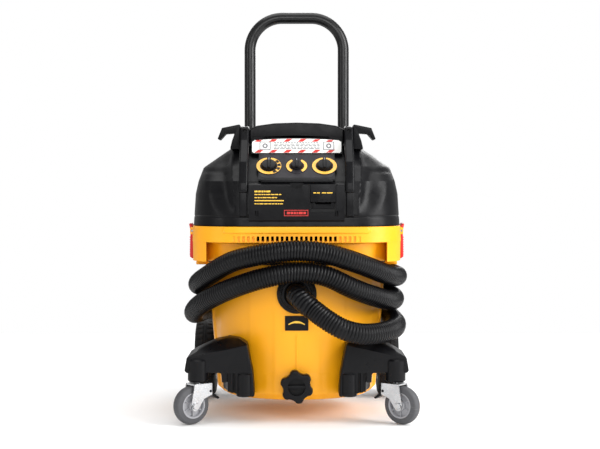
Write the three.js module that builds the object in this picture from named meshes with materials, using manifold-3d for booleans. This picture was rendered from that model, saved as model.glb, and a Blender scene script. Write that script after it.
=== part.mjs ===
// A wheeled shop vacuum: a yellow tank on two front castors and two rear wheels, a black motor head
// with a control column, a telescoping push handle and a suction hose wound round the tank.
// Millimetres, +Z up, the front of the machine faces -Y, the floor is z = 0.
import * as THREE from "three";
import { mergeVertices } from "three/addons/utils/BufferGeometryUtils.js";
import Module from "manifold-3d";

const wasm = await Module();
wasm.setup();

// ---- driving dimensions -------------------------------------------------------------------------
const GAP = 0.3; // left between pieces that touch
const RUNNING_GAP = 0.8; // left round pieces that turn or slide
const WALL = 4;
const ROUND = 24; // segments of a large circle
const FINE = 12; // segments of a small one

// Rounded-box levels: height, half width, front and rear edge, corner radius.
const TANK_LEVELS = [
  { z: 41, half: 150, front: -178, rear: 126, round: 144 },
  { z: 54, half: 164, front: -191, rear: 138, round: 157 },
  { z: 309, half: 184, front: -206, rear: 141, round: 168 },
];
const TANK_FLOOR = 5;
const KEEPER = { low: [182, -36, 301.5], high: [209, 16, 309] }; // ledge that a latch hooks under
const RING_LEVELS = [
  { z: 315, half: 190, front: -200, rear: 176, round: 110 },
  { z: 352, half: 194, front: -204, rear: 178, round: 110 },
  { z: 354, half: 210, front: -220, rear: 188, round: 105 },
  { z: 385, half: 209, front: -219, rear: 188, round: 105 },
];
const RING_FLOOR = 4;
const SKIRT = { low: [188, -140, 315.5], high: [209, 60, 356] }; // side wall that carries a latch
const COVER_LEVELS = [
  { z: 385.3, half: 208, front: -211, rear: 187, round: 104 },
  { z: 449, half: 204, front: -205, rear: 187, round: 100 },
  { z: 474, half: 198.5, front: -199, rear: 186, round: 96 },
  { z: 502, half: 189.5, front: -168, rear: 184, round: 88 },
  { z: 541, half: 135, front: -120, rear: 174, round: 62 },
  { z: 547, half: 126, front: -112, rear: 170, round: 54 },
];
const DECK_Z = 547;

const INLET = { z: 254, front: -203, flange: 39, bore: 27, ring: 30 };
const DRAIN = { z: 72, knob: 33, neck: 14, face: -193, wave: 4, lobes: 6, grip: 22, recess: 17 };
const HOSE_RADIUS = 20.5;
const CUFF_RADIUS = 22.5;

const CASTOR = { x: 193, y: -210, wheel: 37.5, width: 24, trail: 16, turn: 0.942, hub: 25 };
const CASTOR_HUB = { bore: 4.6, boss: 10, rim: 3, web: 4, axle: 3.9 };
const CASTOR_BOSS = { radius: 20, bottom: 82, top: 126, bore: 6.4, boreTop: 116 };
const CASTOR_SWEEP = 58; // room for the wheel to swivel in
const REAR = { y: 163, wheel: 85, inner: 178, outer: 223, hub: 52, axle: 6, boss: 20, rim: 6, web: 4 };

const HANDLE = { x: 104.7, y: 205, tube: 12.5, top: 853.5, foot: 492, corner: 72 };
const GUIDE = { outer: 16.4, bottom: 318, top: 596 };

const PANEL_TILT = THREE.MathUtils.degToRad(48);
const DIAL_PLANE = { y: -178, z: 503 }; // a point on the sloping dial panel
const DIAL_SPACING = 54.8;

const COLOURS = {
  yellow: { color: 0xffb426, roughness: 0.42, metalness: 0 },
  black: { color: 0x242527, roughness: 0.5, metalness: 0 },
  rubber: { color: 0x1b1b1c, roughness: 0.72, metalness: 0 },
  grey: { color: 0x6e6f72, roughness: 0.7, metalness: 0 },
  red: { color: 0xd8241c, roughness: 0.4, metalness: 0 },
  white: { color: 0xe9e9e6, roughness: 0.5, metalness: 0 },
  zinc: { color: 0xc9c9c6, roughness: 0.35, metalness: 0.9 },
  paper: { color: 0xd9d2c0, roughness: 0.9, metalness: 0 },
  steel: { color: 0x8a8d90, roughness: 0.4, metalness: 0.8 },
  board: { color: 0x1f5a35, roughness: 0.6, metalness: 0 },
};

// ---- solids -------------------------------------------------------------------------------------
function solidOf(geometry) {
  const bare = geometry.clone();
  bare.deleteAttribute("normal");
  bare.deleteAttribute("uv");
  const merged = mergeVertices(bare, 1e-4);
  return new wasm.Manifold(
    new wasm.Mesh({
      numProp: 3,
      vertProperties: merged.attributes.position.array,
      triVerts: new Uint32Array(merged.index.array),
    }),
  );
}

function geometryOf(solid) {
  const mesh = solid.getMesh();
  const geometry = new THREE.BufferGeometry();
  geometry.setAttribute("position", new THREE.BufferAttribute(mesh.vertProperties, 3));
  geometry.setIndex(new THREE.BufferAttribute(mesh.triVerts, 1));
  const flat = geometry.toNonIndexed();
  flat.computeVertexNormals();
  return flat;
}

function joined(...geometries) {
  return geometries.map(solidOf).reduce((sum, next) => sum.add(next));
}

// The first geometry with the others cut away.
function cut(base, ...tools) {
  const first = base instanceof THREE.BufferGeometry ? solidOf(base) : base;
  const solids = tools.map((tool) => (tool instanceof THREE.BufferGeometry ? solidOf(tool) : tool));
  return geometryOf(solids.reduce((rest, tool) => rest.subtract(tool), first));
}

function cylinder(radius, length, segments = ROUND) {
  return new THREE.CylinderGeometry(radius, radius, length, segments);
}

function rodX(radius, from, to, y, z, segments = FINE) {
  return cylinder(radius, to - from, segments).rotateZ(-Math.PI / 2).translate((from + to) / 2, y, z);
}

function rodY(radius, from, to, x, z, segments = ROUND) {
  return cylinder(radius, to - from, segments).translate(x, (from + to) / 2, z);
}

function rodZ(radius, from, to, x, y, segments = ROUND) {
  return cylinder(radius, to - from, segments).rotateX(Math.PI / 2).translate(x, y, (from + to) / 2);
}

function box(low, high) {
  const size = high.map((value, axis) => value - low[axis]);
  const centre = high.map((value, axis) => (value + low[axis]) / 2);
  return new THREE.BoxGeometry(...size).translate(...centre);
}

function shapeOf(points) {
  return new THREE.Shape(points.map(([a, b]) => new THREE.Vector2(a, b)));
}

// An outline drawn in the front view (x, z), carried from one y to another.
function frontPlate(points, from, to) {
  const plate = new THREE.ExtrudeGeometry(shapeOf(points), { depth: to - from, bevelEnabled: false });
  return plate.rotateX(Math.PI / 2).translate(0, to, 0);
}

// An outline drawn in the side view (y, z), carried from one x to another.
function sidePlate(points, from, to) {
  const plate = new THREE.ExtrudeGeometry(shapeOf(points), { depth: to - from, bevelEnabled: false });
  return plate.rotateY(Math.PI / 2).rotateX(Math.PI / 2).translate(from, 0, 0);
}

function roundedRectangle(level, grow, perCorner) {
  const half = level.half + grow;
  const front = level.front - grow;
  const rear = level.rear + grow;
  const radius = Math.max(level.round + grow, 1);
  const centres = [
    [half - radius, rear - radius, 0],
    [radius - half, rear - radius, 1],
    [radius - half, front + radius, 2],
    [half - radius, front + radius, 3],
  ];
  const points = [];
  for (const [x, y, quarter] of centres) {
    for (let step = 0; step <= perCorner; step += 1) {
      const angle = ((quarter + step / perCorner) * Math.PI) / 2;
      points.push([x + radius * Math.cos(angle), y + radius * Math.sin(angle), level.z]);
    }
  }
  return points;
}

// A closed skin through rounded rectangles stacked in z; grow widens every level.
function loft(levels, grow = 0, perCorner = 5) {
  const rings = levels.map((level) => roundedRectangle(level, grow, perCorner));
  const count = rings[0].length;
  const positions = rings.flat(2);
  const index = [];
  for (let ring = 0; ring + 1 < rings.length; ring += 1) {
    for (let at = 0; at < count; at += 1) {
      const a = ring * count + at;
      const b = ring * count + ((at + 1) % count);
      index.push(a, b, b + count, a, b + count, a + count);
    }
  }
  const last = (rings.length - 1) * count;
  for (let at = 1; at + 1 < count; at += 1) {
    index.push(0, at + 1, at);
    index.push(last, last + at, last + at + 1);
  }
  const geometry = new THREE.BufferGeometry();
  geometry.setAttribute("position", new THREE.Float32BufferAttribute(positions, 3));
  geometry.setIndex(index);
  return geometry;
}

function lifted(levels, low, high) {
  const moved = levels.map((level) => ({ ...level }));
  moved[0].z += low;
  moved[moved.length - 1].z += high;
  return moved;
}

function tube(curve, radius, steps, sides) {
  const section = new THREE.Shape();
  for (let side = 0; side < sides; side += 1) {
    const angle = (side * 2 * Math.PI) / sides;
    const point = [radius * Math.cos(angle), radius * Math.sin(angle)];
    if (side === 0) section.moveTo(...point);
    else section.lineTo(...point);
  }
  return new THREE.ExtrudeGeometry(section, { steps, extrudePath: curve, bevelEnabled: false });
}

function lathe(points, segments = ROUND) {
  const profile = points.map(([radius, height]) => new THREE.Vector2(radius, height));
  return new THREE.LatheGeometry(profile, segments);
}

// ---- the scene graph ----------------------------------------------------------------------------
const vacuum = new THREE.Group();
vacuum.name = "shop_vacuum";

function add(name, geometry, colour, parent = vacuum) {
  const mesh = new THREE.Mesh(geometry, new THREE.MeshStandardMaterial(COLOURS[colour]));
  mesh.name = name;
  parent.add(mesh);
  return mesh;
}

const SIDES = [
  { name: "left", sign: -1 },
  { name: "right", sign: 1 },
];

// Front-view outlines are drawn for the right-hand side; this mirrors them for the left.
function sided(points, sign) {
  return points.map(([x, z]) => [x * sign, z]);
}

// A box given for the right-hand side, mirrored for the left.
function sidedBox(sign, [x0, y0, z0], [x1, y1, z1]) {
  return box([Math.min(x0 * sign, x1 * sign), y0, z0], [Math.max(x0 * sign, x1 * sign), y1, z1]);
}

// ---- tank and running gear ----------------------------------------------------------------------
function tankBlock(grow = 0) {
  return loft(TANK_LEVELS, grow, 7);
}

function addTank() {
  const hollow = loft(lifted(TANK_LEVELS, TANK_FLOOR, 1), -WALL, 7);
  const keepers = SIDES.map(({ sign }) => sidedBox(sign, KEEPER.low, KEEPER.high));
  const inletHole = rodY(INLET.bore + GAP, INLET.front - 20, INLET.front + 30, 0, INLET.z);
  const drainHole = rodY(DRAIN.neck + RUNNING_GAP, -220, -150, 0, DRAIN.z);
  add("tank", cut(joined(tankBlock(), ...keepers), hollow, inletHole, drainHole), "yellow");
}

function addTankSeal() {
  const top = TANK_LEVELS[2];
  const low = { ...top, z: top.z + GAP };
  const high = { ...top, z: RING_LEVELS[0].z - GAP };
  const outer = loft([low, high], 0, 7);
  const inner = loft([{ ...low, z: low.z - 1 }, { ...high, z: high.z + 1 }], -9, 7);
  add("tank_seal", cut(outer, inner), "rubber");
}

const ARM_OUTLINE = [
  [214.5, 130],
  [219, 104],
  [215, 100],
  [147, 100],
  [145, 65],
  [82, 52],
  [85, 98],
  [97, 157],
  [113, 165],
  [134, 166],
  [164, 155],
  [195, 141],
];
const ARM_FRONT = -222;
const ARM_REAR = -96;

function addCastorArm({ name, sign }) {
  const plate = frontPlate(sided(ARM_OUTLINE, sign), ARM_FRONT, ARM_REAR);
  const boss = rodZ(CASTOR_BOSS.radius, CASTOR_BOSS.bottom, CASTOR_BOSS.top, CASTOR.x * sign, CASTOR.y);
  const sweep = rodZ(CASTOR_SWEEP, -1, CASTOR_BOSS.bottom, CASTOR.x * sign, CASTOR.y, 36);
  const stemHole = rodZ(CASTOR_BOSS.bore, 0, CASTOR_BOSS.boreTop, CASTOR.x * sign, CASTOR.y, FINE);
  add(`castor_arm_${name}`, cut(joined(plate, boss), tankBlock(GAP), sweep, stemHole), "black");
}

const CHASSIS_HALF = 170;
const CHASSIS_OUTLINE = [
  [84, 50],
  [150, 50],
  [188, 68],
  [188, 104],
  [168, 116],
  [84, 150],
];

function addRearChassis() {
  const block = sidePlate(CHASSIS_OUTLINE, -CHASSIS_HALF, CHASSIS_HALF);
  const bore = REAR.axle + RUNNING_GAP;
  const axleHole = rodX(bore, -CHASSIS_HALF - 1, CHASSIS_HALF + 1, REAR.y, REAR.wheel, 16);
  add("rear_chassis", cut(block, tankBlock(GAP), axleHole), "black");
  const axle = rodX(REAR.axle, -REAR.outer + 3, REAR.outer - 3, REAR.y, REAR.wheel, 16);
  add("rear_axle", axle, "zinc");
}

function addRearWheel({ name, sign }) {
  const group = new THREE.Group();
  group.position.set(((REAR.inner + REAR.outer) / 2) * sign, REAR.y, REAR.wheel);
  group.rotation.z = Math.PI / 2;
  vacuum.add(group);
  const half = (REAR.outer - REAR.inner) / 2;
  const edge = 7;
  const tyre = lathe([
    [REAR.hub + GAP, -half],
    [REAR.wheel - edge, -half],
    [REAR.wheel, -half + edge],
    [REAR.wheel, half - edge],
    [REAR.wheel - edge, half],
    [REAR.hub + GAP, half],
    [REAR.hub + GAP, -half],
  ], 36);
  add(`rear_tyre_${name}`, tyre, "rubber", group);
  const bore = REAR.axle + RUNNING_GAP;
  const rim = REAR.hub - REAR.rim;
  const hub = lathe([
    [bore, -half + 2],
    [REAR.boss, -half + 2],
    [REAR.boss, -REAR.web],
    [rim, -REAR.web],
    [rim, -half + 1],
    [REAR.hub, -half + 1],
    [REAR.hub, half - 1],
    [rim, half - 1],
    [rim, REAR.web],
    [REAR.boss, REAR.web],
    [REAR.boss, half - 2],
    [bore, half - 2],
    [bore, -half + 2],
  ]);
  add(`rear_hub_${name}`, hub, "black", group);
}

// A swivel castor, drawn with its stem on the origin, its axle along x and its wheel towards -y.
const FORK = { plate: 3, inside: 13.6, crown: 79.4, front: -17, rear: 22.5, stem: 5.6, stemTop: 112 };
const FORK_LEG = [
  [FORK.front, FORK.crown],
  [-25, 40],
  [-22, 30],
  [-16, 27],
  [-10, 30],
  [4, 50],
  [FORK.rear, 57],
  [FORK.rear, FORK.crown],
];
const PEDAL = { y: 19, z: 64, pin: 2.4, half: 11 };
const PEDAL_OUTLINE = [
  [13.5, 70],
  [17, 58.5],
  [40, 46],
  [43, 49],
  [24, 62],
  [20, 71],
];

function addCastor({ name, sign }) {
  const group = new THREE.Group();
  group.position.set(CASTOR.x * sign, CASTOR.y, 0);
  group.rotation.z = CASTOR.turn * sign;
  vacuum.add(group);

  const outside = FORK.inside + FORK.plate;
  const legs = [
    sidePlate(FORK_LEG, FORK.inside, outside),
    sidePlate(FORK_LEG, -outside, -FORK.inside),
  ];
  const under = FORK.crown - FORK.plate;
  const crown = box([-outside, FORK.front, under], [outside, FORK.rear, FORK.crown]);
  const stem = rodZ(FORK.stem, under, FORK.stemTop, 0, 0, FINE);
  const past = outside + 10;
  const axleHole = rodX(CASTOR_HUB.axle + GAP, -past, past, -CASTOR.trail, CASTOR.wheel);
  const pinHole = rodX(PEDAL.pin + GAP, -past, past, PEDAL.y, PEDAL.z);
  add(`castor_fork_${name}`, cut(joined(...legs, crown, stem), axleHole, pinHole), "zinc", group);

  const axle = rodX(CASTOR_HUB.axle, -outside - 2.5, outside + 2.5, -CASTOR.trail, CASTOR.wheel);
  add(`castor_axle_${name}`, axle, "zinc", group);

  const half = CASTOR.width / 2;
  const tyre = lathe([
    [CASTOR.hub + GAP, -half + 1],
    [CASTOR.wheel - 4, -half + 1],
    [CASTOR.wheel, -half + 6],
    [CASTOR.wheel, half - 6],
    [CASTOR.wheel - 4, half - 1],
    [CASTOR.hub + GAP, half - 1],
    [CASTOR.hub + GAP, -half + 1],
  ], 32).rotateZ(Math.PI / 2).translate(0, -CASTOR.trail, CASTOR.wheel);
  add(`castor_tyre_${name}`, tyre, "grey", group);
  const { bore, boss, web } = CASTOR_HUB;
  const rim = CASTOR.hub - CASTOR_HUB.rim;
  const hub = lathe([
    [bore, -half],
    [boss, -half],
    [boss, -web],
    [rim, -web],
    [rim, -half + 1],
    [CASTOR.hub, -half + 1],
    [CASTOR.hub, half - 1],
    [rim, half - 1],
    [rim, web],
    [boss, web],
    [boss, half],
    [bore, half],
    [bore, -half],
  ], 20).rotateZ(Math.PI / 2).translate(0, -CASTOR.trail, CASTOR.wheel);
  add(`castor_hub_${name}`, hub, "grey", group);

  const lever = sidePlate(PEDAL_OUTLINE, -PEDAL.half, PEDAL.half);
  const pin = rodX(PEDAL.pin, -outside - 1, outside + 1, PEDAL.y, PEDAL.z);
  add(`brake_pedal_${name}`, geometryOf(joined(lever, pin)), "black", group);
}

// ---- inlet, drain and hose ----------------------------------------------------------------------
function addDrain() {
  const seal = lathe([
    [DRAIN.neck + GAP, -3],
    [DRAIN.neck + 6, -3],
    [DRAIN.neck + 6, 0],
    [DRAIN.neck + GAP, 0],
    [DRAIN.neck + GAP, -3],
  ]).translate(0, DRAIN.face - 1.2, DRAIN.z);
  add("drain_seal", seal, "rubber");

  const lobes = new THREE.Shape();
  const turns = 48;
  for (let step = 0; step < turns; step += 1) {
    const angle = (step * 2 * Math.PI) / turns;
    const radius = DRAIN.knob - DRAIN.wave + DRAIN.wave * Math.cos(DRAIN.lobes * (angle - Math.PI / 2));
    const point = [radius * Math.cos(angle), radius * Math.sin(angle)];
    if (step === 0) lobes.moveTo(...point);
    else lobes.lineTo(...point);
  }
  const back = DRAIN.face - 4.6;
  const grip = new THREE.ExtrudeGeometry(lobes, { depth: DRAIN.grip, bevelEnabled: false });
  grip.rotateX(Math.PI / 2).translate(0, back, DRAIN.z);
  const recess = rodY(DRAIN.recess, back - 30, back - 12, 0, DRAIN.z);
  const reach = DRAIN.recess + 0.5;
  const bar = box([-reach, back - 20, DRAIN.z - 3], [reach, back - 11, DRAIN.z + 3]);
  const neck = rodY(DRAIN.neck, back - 1, DRAIN.face + 26, 0, DRAIN.z);
  const body = solidOf(grip).subtract(solidOf(recess)).add(solidOf(bar)).add(solidOf(neck));
  add("drain_knob", geometryOf(body), "black");
}

function addInlet() {
  const front = INLET.front - 12;
  const flange = solidOf(rodY(INLET.flange, front, INLET.front + 14, 0, INLET.z, 32));
  const bore = rodY(INLET.bore, front - 1, INLET.front + 20, 0, INLET.z, 32);
  add("inlet_flange", cut(flange, tankBlock(GAP), bore), "black");

  const start = front - GAP;
  const ring = cut(
    rodY(INLET.ring, start - 10, start, 0, INLET.z, 32),
    rodY(CUFF_RADIUS + RUNNING_GAP, start - 11, start + 1, 0, INLET.z, 32),
    rodX(3, -60, -INLET.ring + 3, start - 5, INLET.z),
    rodX(3, INLET.ring - 3, 60, start - 5, INLET.z),
  );
  add("inlet_lock_ring", ring, "black");
}

// The hose leaves the inlet through a swept elbow, then winds counter-clockwise round the tank,
// seen from above: right, rear, left, front, right, rear, left, front, right and rear again.
const CUFF_ROUTE = [
  [0, -196, 254],
  [0, -212, 254],
  [0, -229, 254],
  [7, -245.5, 247.5],
  [20.4, -256.9, 235.5],
  [31, -262, 227.9],
];
const HOSE_ROUTE = [
  [31.3, -262.2, 227.7],
  [56, -274, 210],
  [88, -279, 192],
  [122, -268, 182],
  [158, -239, 180],
  [186, -194, 182.5],
  [199, -131, 183.5],
  [202, -52, 186],
  [183, 70, 193],
  [110, 142, 201],
  [0, 165, 203.5],
  [-110, 142, 203],
  [-186, 70, 199],
  [-212, -44, 201],
  [-188, -150, 231],
  [-122, -222, 267],
  [-52, -247, 290],
  [0, -251, 298],
  [52, -247, 292],
  [112, -226, 264],
  [178, -152, 238],
  [202, -44, 233],
  [183, 70, 238],
  [110, 142, 244.5],
  [0, 165, 246.5],
  [-110, 142, 249],
  [-183, 70, 253],
  [-203.5, -44, 260],
  [-182, -152, 282],
  [-121, -225, 319],
  [-52, -249, 335],
  [0, -253, 340],
  [52, -249, 335.5],
  [112, -228, 317],
  [181, -152, 288],
  [208, -44, 279],
  [184, 70, 283],
  [110, 142, 288.5],
  [72, 157, 290],
  [40, 163, 291],
];
const TOOL_CUFF_ROUTE = [
  [39, 163.2, 291],
  [20, 166.8, 291.2],
  [-40, 165, 291],
];

function curveOf(route) {
  const points = route.map((point) => new THREE.Vector3(...point));
  return new THREE.CatmullRomCurve3(points, false, "centripetal");
}

function addHose() {
  add("hose_cuff", tube(curveOf(CUFF_ROUTE), CUFF_RADIUS, 8, 12), "rubber");
  add("hose", tube(curveOf(HOSE_ROUTE), HOSE_RADIUS, 80, 10), "rubber");
  add("hose_tool_cuff", tube(curveOf(TOOL_CUFF_ROUTE), CUFF_RADIUS, 4, 12), "rubber");
}

// ---- motor head: base ring, cover, motor and filters --------------------------------------------
const MOTOR = { y: 10, radius: 82, bottom: 319.5, height: 132 };
const FILTER = { x: 78, y: -32, radius: 62, bottom: 214, height: 100.6 };
const PORT_RADIUS = 42;
const LATCH = { x: 216.6, z: 372, pin: 2.2, front: -40, rear: 20, ear: 6 };
const SOCKET = { x: 51.5, half: 22, bottom: 420, top: 464, front: -210, depth: 28 };

function coverBlock(grow = 0) {
  return loft(COVER_LEVELS, grow, 6);
}

function latchEars(sign) {
  const { front, rear, ear } = LATCH;
  const low = [203, 0, LATCH.z - 7];
  const high = [LATCH.x + 4, 0, LATCH.z + 7];
  return [[front - ear, front - GAP], [rear + GAP, rear + ear]].map(([from, to]) =>
    sidedBox(sign, [low[0], from, low[2]], [high[0], to, high[2]]),
  );
}

function addHeadRing() {
  const pocket = loft(lifted(RING_LEVELS, RING_FLOOR, 1), -WALL, 5);
  const extras = SIDES.flatMap(({ sign }) => [
    sidedBox(sign, SKIRT.low, SKIRT.high),
    ...latchEars(sign),
  ]);
  const ports = SIDES.map(({ sign }) => rodZ(PORT_RADIUS, 300, 340, FILTER.x * sign, FILTER.y));
  const pinHole = rodY(LATCH.pin + GAP, LATCH.front - 20, LATCH.rear + 20, LATCH.x, LATCH.z, FINE);
  const otherPinHole = pinHole.clone().translate(-2 * LATCH.x, 0, 0);
  const body = joined(loft(RING_LEVELS, 0, 5), ...extras);
  add("head_ring", cut(body, pocket, ...ports, pinHole, otherPinHole), "yellow");
}

function addHeadCover() {
  const inside = loft(lifted(COVER_LEVELS, -1, -WALL), -WALL, 6);
  const { x, half, bottom, top, front } = SOCKET;
  const edge = half + GAP;
  const window = box([x - edge, front - 20, bottom - GAP], [x + edge, -170, top + GAP]);
  const glandHole = rodY(GLAND.neck + GAP, 170, 200, GLAND.x, GLAND.z, FINE);
  add("head_cover", cut(coverBlock(), inside, window, glandHole), "black");
}

function addMotor() {
  const { y, radius, bottom, height } = MOTOR;
  const housing = lathe([
    [0, height - WALL],
    [radius - WALL, height - WALL],
    [radius - WALL, 0],
    [radius, 0],
    [radius, height],
    [0, height],
  ]);
  add("motor_housing", housing.rotateX(Math.PI / 2).translate(0, y, bottom), "black");
  const rotor = lathe([
    [0, 8],
    [70, 8],
    [70, 26],
    [6, 28],
    [6, 50],
    [32, 50],
    [32, 104],
    [6, 104],
    [6, 120],
    [0, 120],
  ]);
  add("fan_rotor", rotor.rotateX(Math.PI / 2).translate(0, y, bottom), "steel");
}

function addFilters({ name, sign }) {
  const { x, y, radius, bottom, height } = FILTER;
  const cartridge = lathe([
    [0, 0],
    [radius, 0],
    [radius, height],
    [radius - 26, height],
    [radius - 26, 8],
    [0, 8],
  ]);
  add(`filter_${name}`, cartridge.rotateX(Math.PI / 2).translate(x * sign, y, bottom), "paper");
}

const BOARD = { low: [-80, -192, 402], high: [20, -188.5, 462] };
const GLAND = { x: -62, z: 428, neck: 8 };

function addElectrics() {
  add("circuit_board", box(BOARD.low, BOARD.high), "board");
  const gland = lathe([
    [0, -10],
    [GLAND.neck, -10],
    [GLAND.neck, 1],
    [13, 1],
    [13, 7],
    [9, 9],
    [7, 26],
    [4.5, 26],
    [4.5, -6],
    [0, -6],
  ]);
  add("cable_gland", gland.translate(GLAND.x, COVER_LEVELS[0].rear - 0.4, GLAND.z), "rubber");
}

// ---- control column -----------------------------------------------------------------------------
const CONSOLE_HALF = 75;
const CONSOLE_PROFILE = [
  [-209, 474],
  [-206, 478],
  [-151, 527],
  [-143, 531],
  [-112, 531],
  [-150, 474],
];
const LABEL_HALF = 91;
const LABEL_BACKING = [
  [-144.5, 528],
  [-134, 561],
  [-129, 561],
  [-126.5, 535],
  [-126.5, 528],
];
const PANEL_HALF = 93;
const PANEL_PROFILE = [
  [-217, 396],
  [-217, 466],
  [-208, 470.5],
  [-180, 470.5],
  [-180, 396],
];
const FLAP = { half: 25, top: 469, bottom: 433, recess: 414, front: -216.8, back: -213.2 };
const FLAP_HINGE = { y: -214.5, z: 466.5, pin: 1.6, past: 3 };

// A piece standing on the cover, cut away where the cover is.
function onCover(geometry, ...tools) {
  return cut(geometry, coverBlock(GAP), ...tools);
}

// A rod along the outlet flap's hinge line, running past the flap at both ends.
function hingeRod(radius, past) {
  const reach = FLAP.half + past;
  return rodX(radius, SOCKET.x - reach, SOCKET.x + reach, FLAP_HINGE.y, FLAP_HINGE.z);
}

function addColumn() {
  const desk = joined(
    sidePlate(CONSOLE_PROFILE, -CONSOLE_HALF, CONSOLE_HALF),
    sidePlate(LABEL_BACKING, -LABEL_HALF, LABEL_HALF),
  );
  add("control_console", onCover(desk), "black");
  const edge = FLAP.half + GAP;
  const recess = box([SOCKET.x - edge, -230, FLAP.recess], [SOCKET.x + edge, -190, FLAP.top]);
  const panel = sidePlate(PANEL_PROFILE, -PANEL_HALF, PANEL_HALF);
  const hingeHole = hingeRod(FLAP_HINGE.pin + GAP, FLAP_HINGE.past + 1);
  add("front_panel", onCover(panel, recess, hingeHole), "black");
}

function addOutlet() {
  const { x, half, bottom, top, front, depth } = SOCKET;
  const block = box([x - half, front, bottom], [x + half, front + depth, top]);
  const recess = box([x - 15, front - 1, bottom + 9], [x + 15, front + depth - 6, top - 9]);
  add("outlet_socket", cut(block, recess), "black");
  const lid = box([x - FLAP.half, FLAP.front, FLAP.bottom], [x + FLAP.half, FLAP.back, FLAP.top - 1]);
  const pin = hingeRod(FLAP_HINGE.pin, FLAP_HINGE.past);
  const lip = box([x - 12, -220, FLAP.bottom], [x + 12, -216, FLAP.bottom + 3]);
  add("outlet_flap", geometryOf(joined(lid, pin, lip)), "black");
}

const LABEL_TILT = Math.atan2(10.5, 33);
const LABEL_OUTLINE = [
  [-89, -15],
  [89, -15],
  [89, 11],
  [45, 14],
  [0, 15],
  [-45, 14],
  [-89, 11],
];

function addLabel() {
  const plate = new THREE.ExtrudeGeometry(shapeOf(LABEL_OUTLINE), { depth: 1.2, bevelEnabled: false });
  const group = new THREE.Group();
  group.position.set(0, -139.6 - GAP, 544.5);
  group.rotation.x = Math.PI / 2 - LABEL_TILT;
  vacuum.add(group);
  add("class_label", plate.translate(0, 0, GAP), "white", group);
}

// Three dials on the sloping panel: each turns about the panel's own normal.
const DIALS = [
  { name: "hose_size", x: -DIAL_SPACING, scale: 25.2, knob: 15 },
  { name: "cleaning_mode", x: 0, scale: 21.5, knob: 12.5 },
  { name: "suction_power", x: DIAL_SPACING, scale: 25.2, knob: 15 },
];

function addDial({ name, x, scale, knob }) {
  const group = new THREE.Group();
  group.position.set(x, DIAL_PLANE.y, DIAL_PLANE.z);
  group.rotation.x = Math.PI / 2 - PANEL_TILT;
  vacuum.add(group);
  const plate = rodZ(scale, 2 * GAP, 1.8, 0, 0, 32);
  add(`${name}_scale`, plate, "yellow", group);
  const grip = joined(rodZ(knob, 2.2, 13, 0, 0), box([-3, -knob, 12], [3, knob, 17]));
  add(`${name}_knob`, geometryOf(grip), "black", group);
}

// ---- handles, hooks and latches -----------------------------------------------------------------
const GRAB = { front: -126, rear: -98 };
const GRAB_OUTLINE = [
  [94.8, 578],
  [80, 585.5],
  [45, 590.5],
  [0, 592],
  [-45, 590.5],
  [-80, 585.5],
  [-94.8, 578],
  [-94.8, DECK_Z + GAP],
  [-86, DECK_Z + GAP],
  [-77, 554],
  [-62, 560.5],
  [0, 563],
  [62, 560.5],
  [77, 554],
  [86, DECK_Z + GAP],
  [94.8, DECK_Z + GAP],
];
const PILLAR = { inner: 95.2, outer: 113 };
const PILLAR_PROFILE = [
  [-218, 450],
  [-215, 470],
  [-196, 512],
  [-150, 556],
  [-136, 583],
  [-96, 586],
  [-90, 560],
  [-90, 545],
  [-150, 470],
  [-190, 450],
];
const HOOK = { front: -128, rear: -78 };
const HOOK_OUTLINE = [
  [113.4, 588.5],
  [150, 581],
  [159, 558.5],
  [154, 557],
  [143, 569.5],
  [124, 571],
  [130, 555],
  [134, 538],
  [113.4, 538],
];

function addTopFittings() {
  add("grab_handle", frontPlate(GRAB_OUTLINE, GRAB.front, GRAB.rear), "black");
  for (const { name, sign } of SIDES) {
    const from = sign > 0 ? PILLAR.inner : -PILLAR.outer;
    const width = PILLAR.outer - PILLAR.inner;
    add(`pillar_${name}`, onCover(sidePlate(PILLAR_PROFILE, from, from + width)), "black");
    const hook = frontPlate(sided(HOOK_OUTLINE, sign), HOOK.front, HOOK.rear);
    add(`cord_hook_${name}`, onCover(hook), "black");
  }
}

const QUARTER_ARC_PULL = 0.5523; // Bezier handle length of a quarter circle of radius 1

function addPushHandle() {
  const { x, y, foot, top, corner } = HANDLE;
  const crest = top - HANDLE.tube;
  const path = new THREE.CurvePath();
  const at = (px, pz) => new THREE.Vector3(px, y, pz);
  const pull = corner * QUARTER_ARC_PULL;
  path.add(new THREE.LineCurve3(at(-x, foot), at(-x, crest - corner)));
  path.add(
    new THREE.CubicBezierCurve3(
      at(-x, crest - corner),
      at(-x, crest - corner + pull),
      at(corner - x - pull, crest),
      at(corner - x, crest),
    ),
  );
  path.add(new THREE.LineCurve3(at(corner - x, crest), at(x - corner, crest)));
  path.add(
    new THREE.CubicBezierCurve3(
      at(x - corner, crest),
      at(x - corner + pull, crest),
      at(x, crest - corner + pull),
      at(x, crest - corner),
    ),
  );
  path.add(new THREE.LineCurve3(at(x, crest - corner), at(x, foot)));
  add("push_handle", tube(path, HANDLE.tube, 44, 12), "black");
}

function addHandleGuide({ name, sign }) {
  const x = HANDLE.x * sign;
  const shell = rodZ(GUIDE.outer, GUIDE.bottom, GUIDE.top, x, HANDLE.y, 20);
  const bore = rodZ(HANDLE.tube + RUNNING_GAP, GUIDE.bottom - 1, GUIDE.top + 1, x, HANDLE.y, 20);
  add(`handle_guide_${name}`, cut(shell, bore), "black");
}

const LATCH_OUTLINE = [
  [212.2, 318],
  [216, 314],
  [221.5, 318],
  [220.4, 372],
  [223.2, 386],
  [220.6, 387.5],
  [213.7, 377],
  [212.2, 374],
];

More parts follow.
